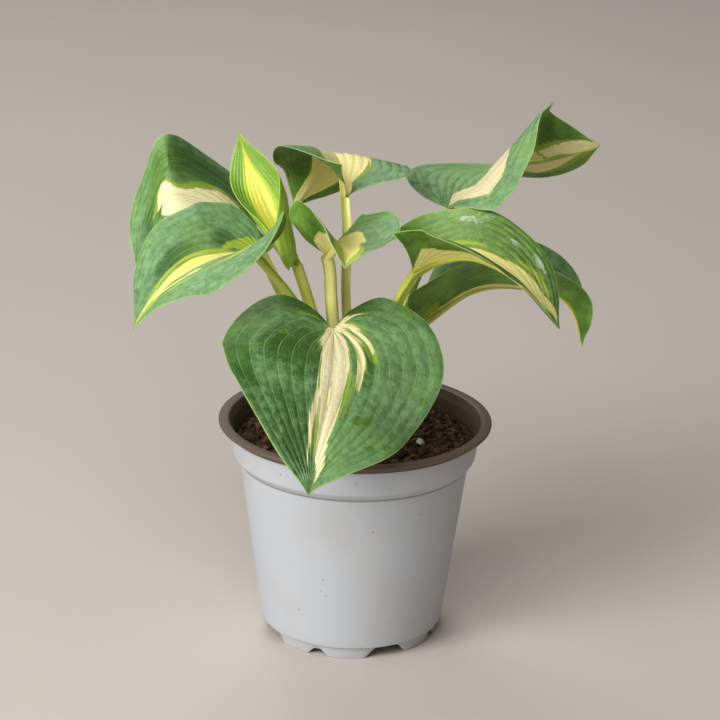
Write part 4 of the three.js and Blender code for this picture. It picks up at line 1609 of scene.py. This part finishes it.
@dataclass
class Pot:
    """The two-coloured plastic pot, with its stepped wall, rim, foot ring and drain holes.

    Its sizes are in millimetres. step_line_half is half the height of the dark line along the step,
    dirt_height the height over which the dirt at the foot thins out, and stretch the shortest
    gap that added points leave in the section.
    """

    segments: int = 288
    stretch: float = 4
    height: float = 107
    rim_radius: float = 65
    rim_bore_radius: float = 60
    rim_thickness: float = 1.6
    skirt_radius: float = 61.4
    skirt_height: float = 2.8
    band_top_radius: float = 59.4
    band_foot_radius: float = 57.8
    band_foot_z: float = 90
    step_foot_z: float = 86.5
    wall_top_radius: float = 54.6
    wall_foot_radius: float = 43.8
    wall_foot_z: float = 6.2
    wall_thickness: float = 1.4
    base_underside_z: float = 5.2
    floor_z: float = 6.4
    foot_top_radius: float = 42.4
    foot_bottom_radius: float = 41.2
    foot_thickness: float = 1.6
    pad_radius: float = 8
    notches: tuple[Notch, ...] = (Notch(25, 30, 16, 5.2), Notch(-22, 14, 5, 3.4))
    notch_sets: int = 4
    drain_count: int = 8
    drain_corners: int = 40
    drain_radius: float = 4
    drain_circle: float = 33
    drain_reach: float = 3
    step_line_half: float = 0.6
    dirt_height: float = 5

    def corners(self) -> list[tuple[float, float, float, PotSide]]:
        """Lists the section's corners, from the axis below to the axis above.

        Returns:
            Each corner's radius, height, rounding and side of the pot.
        """
        rim_foot_z = self.height - self.rim_thickness
        skirt_foot_z = rim_foot_z - self.skirt_height
        thick, outer, inner = self.wall_thickness, PotSide.OUTSIDE, PotSide.INSIDE
        return [
            (0, 0, 0, outer),
            (self.pad_radius, 0, 0.5, outer),
            (self.pad_radius, self.base_underside_z, 0.3, outer),
            (self.foot_top_radius - self.foot_thickness, self.base_underside_z, 0.4, outer),
            (self.foot_bottom_radius - self.foot_thickness, 0, 0.3, outer),
            (self.foot_bottom_radius, 0, 0.4, outer),
            (self.foot_top_radius, self.wall_foot_z, 0.15, outer),
            (self.wall_foot_radius, self.wall_foot_z, 0.6, outer),
            (self.wall_top_radius - 0.12, self.step_foot_z - 0.9, 0, outer),
            (self.wall_top_radius, self.step_foot_z, 0.3, outer),
            (self.wall_top_radius + 0.73, self.step_foot_z + 0.8, 0, outer),
            (self.band_foot_radius, self.band_foot_z, 0.6, outer),
            (self.band_top_radius, skirt_foot_z, 0.2, inner),
            (self.skirt_radius, skirt_foot_z, 0.35, inner),
            (self.skirt_radius, rim_foot_z, 0.5, inner),
            (self.rim_radius, rim_foot_z, 0.6, inner),
            (self.rim_radius, self.height, 0.7, inner),
            (self.rim_bore_radius, self.height, 0.8, inner),
            (self.band_top_radius - thick, skirt_foot_z, 1, inner),
            (self.band_foot_radius - thick, self.band_foot_z + 0.5, 1.2, inner),
            (self.wall_top_radius - thick, self.step_foot_z + 0.5, 0.8, inner),
            (self.wall_foot_radius - thick, self.floor_z, 1, inner),
            (0, self.floor_z, 0, inner),
        ]

    def profile(self) -> tuple[np.ndarray, list[PotSide]]:
        """Traces the pot's section with its corners rounded.

        Returns:
            The section as radius and height, and each point's side of the pot.
        """
        corners = self.corners()
        places = np.array([corner[:2] for corner in corners], float)
        points, slots = [], []
        for index, (*_, rounding, slot) in enumerate(corners):
            corner = places[index]
            if rounding == 0:
                arc = [corner]
            else:
                before, after = places[index - 1] - corner, places[index + 1] - corner
                reach = min(rounding, 0.45 * np.linalg.norm(before), 0.45 * np.linalg.norm(after))
                start, end = corner + unit(before) * reach, corner + unit(after) * reach
                shares = np.linspace(0, 1, 5)
                arc = [start * (1 - s) ** 2 + corner * 2 * s * (1 - s) + end * s**2 for s in shares]
            points += arc
            slots += [slot] * len(arc)
        return self.finely(np.array(points), slots)

    def finely(self, section: np.ndarray, slots: list[PotSide]) -> tuple[np.ndarray, list[PotSide]]:
        """Adds points to the section's long stretches, so that its fields stay smooth.

        Args:
            section: Radius and height, one row each.
            slots: Each point's side of the pot.

        Returns:
            The longer section, and its points' sides.
        """
        points, kept = [section[0]], [slots[0]]
        for index in range(1, len(section)):
            gap = np.linalg.norm(section[index] - section[index - 1])
            steps = max(1, int(gap / self.stretch))
            for step in range(1, steps + 1):
                share = step / steps
                points.append(section[index - 1] * (1 - share) + section[index] * share)
                kept.append(slots[index] if step == steps else slots[index - 1])
        return np.array(points), kept

    def rise(self, angle: float) -> float:
        """Tells how high the notches lift the foot ring at an angle from the front."""
        turns = [360 * step / self.notch_sets for step in range(self.notch_sets)]
        return max(notch.rise(angle, turn) for notch in self.notches for turn in turns)

    def lathe(self) -> MeshDraft:
        """Turns the section round the axis, lifting the ring's foot over each notch.

        Returns:
            The pot without its drain holes.
        """
        section, slots = self.profile()
        angles = 360 * np.arange(self.segments) / self.segments
        rises, turns = np.array([self.rise(angle) for angle in angles]), np.radians(angles)
        radius, z = section[:, :1], section[:, 1:]
        top = self.base_underside_z
        foot = (radius > self.foot_bottom_radius - self.foot_thickness - 1) & (z < top)
        z = np.where(foot, rises + z * (top - rises) / top, z)
        rings = np.stack([radius * np.sin(turns), -radius * np.cos(turns), z], -1)
        points = np.vstack([rings[0, 0], rings[1:-1].reshape(-1, 3), rings[-1, 0]])
        reach, z = np.hypot(points[:, 0], points[:, 1]), points[:, 2]
        # a dark line along the step, under the wider band
        seam = np.abs(z - self.step_foot_z) < self.step_line_half
        seam &= reach > self.wall_top_radius - self.wall_thickness / 2
        fields = {"foot": np.exp(-z / self.dirt_height), "seam": seam.astype(float)}
        draft = MeshDraft()
        faces = globe_faces(len(section) - 2, self.segments)
        draft.add(points, faces, np.repeat(slots[:-1], self.segments), fields)
        return draft

    def drains(self) -> bpy.types.Object:
        """Builds the pegs that cut the drain holes.

        Returns:
            The pegs as one object.
        """
        draft = MeshDraft()
        corners = self.drain_corners
        angles = 2 * math.pi * np.arange(corners) / corners
        circle = np.stack([np.cos(angles), np.sin(angles)], -1) * self.drain_radius
        for hole in range(self.drain_count):
            turn = 2 * math.pi * hole / self.drain_count
            middle = np.array([math.sin(turn), -math.cos(turn)]) * self.drain_circle
            heights = (self.floor_z + self.drain_reach, -self.drain_reach)
            rings = [np.column_stack([middle + circle, np.full(corners, z)]) for z in heights]
            draft.add(np.vstack(rings), tube_faces(2, corners))
        return draft.build("drain_pegs", [])

    def build(self, groups: Groups) -> bpy.types.Object:
        """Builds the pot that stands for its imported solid.

        Args:
            groups: The shared node groups.

        Returns:
            The pot's object.
        """
        materials = [POT_OUTSIDE.build("pot_outside", groups), POT_INSIDE.build("pot_inside", groups)]
        pot = self.lathe().build("hosta_pot", materials, crease=35)
        pegs = self.drains()
        cut = pot.modifiers.new("drains", "BOOLEAN")
        cut.operation = "DIFFERENCE"
        cut.object = pegs
        bake_modifiers(pot)
        bpy.data.objects.remove(pegs)
        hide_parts("pot")
        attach(pot, ROOT)
        return pot


# ---- soil ------------------------------------------------------------------------------


@dataclass(frozen=True)
class Grain:
    """One grain that lies on the soil.

    sizes are its half sizes, rough is how uneven it is, and lift is how far its middle stands
    over the soil, in its least half size.
    """

    spot: Station
    sizes: Triple
    tone: float
    part: Grit = Grit.PEAT
    rough: float = 0.7
    lift: float = 0.35


@dataclass
class Soil:
    """The peat that fills the pot, crumbly on top, with holes that the stalks stand in.

    Its sizes are in millimetres. side_lifts are how far the corners of its side stand over the
    pot's own, and stalk_room is the room that a stalk is given, in its radius. clod_detail and
    grit_detail are their noise's fractal increment, lacunarity and octaves. Crumbs are drawn
    between their least and greatest size, each half size varies by its own span, and their
    tones follow a beta distribution. Tones run from 0, near black, to 1, rusty.
    """

    pot: Pot
    clearance: float = 0.4
    edge_z: float = 97
    crown_z: float = 99.5
    hole_foot_z: float = 83.6
    hole_room: float = 0.45
    side_lifts: Triple = (0.6, 0.4, 0.3)
    clod_height: float = 1.3
    clod_scale: float = 0.13
    clod_detail: tuple[float, float, int] = (1.0, 2.0, 4)
    grit_height: float = 0.55
    grit_scale: float = 0.55
    grit_detail: tuple[float, float, int] = (0.8, 2.2, 3)
    middle_tone: float = 0.3
    top_tone: float = 0.25
    top_tone_spread: float = 0.25
    top_tone_scale: float = 0.2
    side_tone: float = 0.2
    rings: int = 72
    segments: int = 240
    stalk_room: float = 1.1
    crumbs: int = 2600
    crumb_sizes: Pair = (0.45, 2.6)
    crumb_rate: float = 2.0
    crumb_spans: tuple[Pair, ...] = ((0.8, 1.5), (0.7, 1.1), (0.5, 0.9))
    crumb_tones: Pair = (1.4, 2.6)
    crumb_room: float = 1.5
    chips: int = 120
    chip_lengths: Pair = (1.8, 4.5)
    chip_widths: Pair = (0.35, 0.9)
    chip_depths: Pair = (0.25, 0.5)
    chip_tones: Pair = (0.7, 1.0)
    chip_room: float = 1.4
    grain_rings: int = 5
    grain_corners: int = 8
    grain_scale: float = 1.3
    grain_shift: float = 50
    grain_tilt: float = 0.5
    seed: int = 7
    perlite: Grain = Grain((31.0, -14.2), (2.2, 1.9, 1.8), 0.5, Grit.PERLITE, rough=0.3, lift=1.3)

    def __post_init__(self) -> None:
        """Works out the soil's edge, where the stalks stand and the shape of an even grain."""
        self.radius = self.pot.band_foot_radius - self.pot.wall_thickness - self.clearance
        room = (1 + Stalk.sheath_spread) * self.stalk_room
        self.stalks = [(*leaf.form.stalk[0][:2], leaf.form.stalk_radius * room) for leaf in LEAVES]
        self.ball = self.even_grain()

    def height(self, x: float, y: float) -> float:
        """Gives the height of the crumbly top.

        Args:
            x: The place's first coordinate, in millimetres.
            y: Its second one.

        Returns:
            The height, in millimetres.
        """
        share = min(math.hypot(x, y) / self.radius, 1)
        mound = self.crown_z + (self.edge_z - self.crown_z) * share**2
        clods = noise.fractal(Vector((x, y, 0)) * self.clod_scale, *self.clod_detail)
        grit = noise.fractal(Vector((x, y, 9)) * self.grit_scale, *self.grit_detail)
        return mound + self.clod_height * clods + self.grit_height * grit

    def clear_of_stalks(self, x: float, y: float, room: float) -> bool:
        """Tells whether a place keeps its distance from every stalk."""
        return all(math.hypot(x - sx, y - sy) > radius + room for sx, sy, radius in self.stalks)

    def add_top(self, draft: MeshDraft) -> None:
        """Adds the soil's body: its rough top, sunk where the stalks stand, and its side.

        Args:
            draft: The soil's draft.
        """
        pot, count = self.pot, self.segments
        turns = [2 * math.pi * step / count for step in range(count)]
        points, tones = [(0.0, 0.0, self.height(0, 0))], [self.middle_tone]
        for ring in range(1, self.rings + 1):
            reach = self.radius * ring / self.rings
            for turn in turns:
                x, y = reach * math.sin(turn), -reach * math.cos(turn)
                clear = self.clear_of_stalks(x, y, self.hole_room)
                points.append((x, y, self.height(x, y) if clear else self.hole_foot_z))
                swell = noise.noise(Vector((x, y, 3)) * self.top_tone_scale)
                tones.append(self.top_tone + self.top_tone_spread * swell)
        inset = pot.wall_thickness + self.clearance
        walls = [
            (self.radius, pot.band_foot_z),
            (pot.wall_top_radius - inset, pot.step_foot_z),
            (pot.wall_foot_radius - inset, pot.floor_z),
        ]
        for (reach, z), lift in zip(walls, self.side_lifts):
            points += [(reach * math.sin(turn), -reach * math.cos(turn), z + lift) for turn in turns]
            tones += [self.side_tone] * count
        rows = self.rings + len(walls)
        foot = 1 + (rows - 1) * count
        faces = [(0, 1 + step, 1 + (step + 1) % count) for step in range(count)]
        faces += shifted(lattice(rows, count), 1) + [tuple(reversed(range(foot, foot + count)))]
        draft.add(np.array(points), faces, Grit.PEAT, {"tone": np.array(tones)})

    def even_grain(self) -> tuple[list[Point], list[Face]]:
        """Makes the round lattice that every grain is pulled out of.

        Returns:
            Its points, at a distance of one from its middle, and its faces.
        """
        points = [(0.0, 0.0, -1.0)]
        for ring in range(1, self.grain_rings + 1):
            tilt = math.pi * ring / (self.grain_rings + 1)
            for corner in range(self.grain_corners):
                turn = 2 * math.pi * (corner + ring % 2 / 2) / self.grain_corners
                points.append(
                    (math.sin(tilt) * math.cos(turn), math.sin(tilt) * math.sin(turn), -math.cos(tilt))
                )
        points.append((0.0, 0.0, 1.0))
        return points, globe_faces(self.grain_rings, self.grain_corners)

    def place(self, draft: MeshDraft, draw: random.Random, grain: Grain) -> None:
        """Shapes one grain, turns it at random and sets it on the soil.

        Args:
            draft: The soil's draft.
            draw: The source of random numbers.
            grain: The grain.
        """
        ball, faces = self.ball
        offset = Vector((draw.random(), draw.random(), draw.random())) * self.grain_shift
        places = [Vector(corner) * self.grain_scale + offset for corner in ball]
        swells = [1 + grain.rough * noise.noise(place) for place in places]
        points = np.array(ball) * np.array(swells)[:, None] * np.array(grain.sizes)
        spin = Matrix.Rotation(draw.uniform(0, math.tau), 3, "Z")
        tilt = draw.gauss(0, self.grain_tilt)
        axis = Vector((draw.random() - 0.5, draw.random() - 0.5, 0.01)).normalized()
        points = points @ np.array(spin @ Matrix.Rotation(tilt, 3, axis)).T
        middle = (*grain.spot, self.height(*grain.spot) + min(grain.sizes) * grain.lift)
        draft.add(points + middle, faces, grain.part, {"tone": np.full(len(points), grain.tone)})

    def free_spot(self, draw: random.Random, room: float) -> Station:
        """Draws a place on the soil that is clear of the stalks and of the pot's wall.

        Args:
            draw: The source of random numbers.
            room: How far it keeps from them.

        Returns:
            The place.
        """
        while True:
            reach = (self.radius - room) * math.sqrt(draw.random())
            turn = draw.uniform(0, math.tau)
            x, y = reach * math.cos(turn), reach * math.sin(turn)
            if self.clear_of_stalks(x, y, room):
                return x, y

    def grains(self, draw: random.Random) -> Iterator[Grain]:
        """Draws the crumbs, then the chips, and adds the perlite.

        Args:
            draw: The source of random numbers.

        Returns:
            The grains, one after another.
        """
        smallest, largest = self.crumb_sizes
        for _ in range(self.crumbs):
            size = min(largest, smallest + draw.expovariate(self.crumb_rate))
            spot = self.free_spot(draw, size * self.crumb_room)
            sizes = tuple(size * draw.uniform(*span) for span in self.crumb_spans)
            yield Grain(spot, sizes, tone=draw.betavariate(*self.crumb_tones))
        for _ in range(self.chips):
            length = draw.uniform(*self.chip_lengths)
            sizes = (length, draw.uniform(*self.chip_widths), draw.uniform(*self.chip_depths))
            tone = draw.uniform(*self.chip_tones)
            yield Grain(self.free_spot(draw, length * self.chip_room), sizes, tone)
        yield self.perlite

    def build(self) -> bpy.types.Object:
        """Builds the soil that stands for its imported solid.

        Returns:
            The soil's object.
        """
        draw, draft = random.Random(self.seed), MeshDraft()
        self.add_top(draft)
        for grain in self.grains(draw):
            self.place(draft, draw, grain)
        materials = [SoilFinish().build("soil_peat"), PerliteFinish().build("perlite_white")]
        soil = draft.build("hosta_soil", materials, crease=80)
        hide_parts("soil")
        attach(soil, ROOT)
        return soil


# ---- studio ----------------------------------------------------------------------------


@dataclass(frozen=True)
class Lamp:
    """One soft square light, its sizes in metres and its power in watts."""

    name: str
    place: Point
    size: float
    power: float
    colour: Colour

    def hang(self, target: Point) -> None:
        """Hangs the light so that it faces a target.

        Args:
            target: The place that it faces.
        """
        lamp = bpy.data.lights.new(self.name, "AREA")
        lamp.shape = "SQUARE"
        lamp.size = self.size
        lamp.energy = self.power
        lamp.color = self.colour
        holder = bpy.data.objects.new(self.name, lamp)
        holder.location = self.place
        holder.rotation_euler = (Vector(target) - Vector(self.place)).to_track_quat("-Z", "Y").to_euler()
        bpy.context.scene.collection.objects.link(holder)


@dataclass
class Studio:
    """The floor, the soft lights and the camera at the photograph's angle, in metres."""

    floor_side: float = 9.0
    floor_steps: int = 12
    floor_drop: float = 0.05
    eye: Point = (0.0, -1.173, 0.5548)
    look_down: float = 19.65
    look_right: float = 0.08
    roll: float = -1.33
    lens: float = 131.8
    sensor: float = 36
    nearest: float = 0.02
    target: Point = (0.0, 0.0, 0.13)
    lamps: tuple[Lamp, ...] = (
        Lamp("key_light", (-1.3, -1.1, 1.05), 0.9, 32, (0.99, 0.99, 1.0)),
        Lamp("fill_light", (-0.3, -1.4, 1.6), 1.2, 18, (0.98, 0.99, 1.0)),
        Lamp("bounce_light", (-0.75, -1.1, 0.12), 0.6, 5, (1.0, 0.96, 0.9)),
        Lamp("rim_light", (-0.4, 1.4, 1.6), 1.0, 14, (1.0, 1.0, 0.98)),
    )
    sky: tuple[float, float, float, float] = (0.92, 0.87, 0.82, 1)
    sky_strength: float = 0.17

    def floor(self) -> None:
        """Lays the pale floor, a hair under the pot."""
        half = self.floor_side / 2
        ticks = np.linspace(-half, half, self.floor_steps + 1) / MM
        x, y = np.meshgrid(ticks, ticks)
        draft = MeshDraft()
        points = np.stack([x.ravel(), y.ravel(), np.full(x.size, -self.floor_drop)], -1)
        draft.add(points, lattice(len(ticks), len(ticks), closed=False, flipped=True))
        draft.build("studio_floor", [FloorFinish().build("pale_floor")])

    def lights(self) -> None:
        """Hangs the key light at the left front, a fill, a low bounce and a rim, under a pale sky."""
        for lamp in self.lamps:
            lamp.hang(self.target)
        world = bpy.data.worlds.new("studio_sky")
        world.use_nodes = True
        background = world.node_tree.nodes["Background"]
        background.inputs["Color"].default_value = self.sky
        background.inputs["Strength"].default_value = self.sky_strength
        bpy.context.scene.world = world
        bpy.context.scene.view_settings.view_transform = "Standard"

    def camera(self) -> None:
        """Sets the camera where the photograph was taken from."""
        down, aside, roll = (math.radians(turn) for turn in (self.look_down, self.look_right, self.roll))
        view = Vector((math.sin(aside) * math.cos(down), math.cos(aside) * math.cos(down), -math.sin(down)))
        across = Vector((math.cos(aside), -math.sin(aside), 0))
        above = across.cross(view)
        right = across * math.cos(roll) - above * math.sin(roll)
        up = across * math.sin(roll) + above * math.cos(roll)
        turn = Matrix((right, up, -view)).transposed().to_4x4()
        eye = bpy.data.cameras.new("photo_camera")
        eye.lens = self.lens
        eye.sensor_width = self.sensor
        eye.clip_start = self.nearest
        holder = bpy.data.objects.new("photo_camera", eye)
        holder.matrix_world = Matrix.Translation(self.eye) @ turn
        bpy.context.scene.collection.objects.link(holder)
        bpy.context.scene.camera = holder


def main() -> None:
    """Builds the studio, the pot, the soil and the leaves, and logs each piece's face count."""
    logging.basicConfig(level=logging.INFO, format="%(name)s: %(message)s")
    groups = Groups()
    studio = Studio()
    studio.camera()
    studio.lights()
    studio.floor()
    pot = Pot()
    pieces = [pot.build(groups), Soil(pot).build()]
    pieces += [leaf.build(SEED_STEP * number, groups) for number, leaf in enumerate(LEAVES)]
    for piece in pieces:
        log.info("%s: %d faces", piece.name, len(piece.data.polygons))


if __name__ == "__main__":
    main()
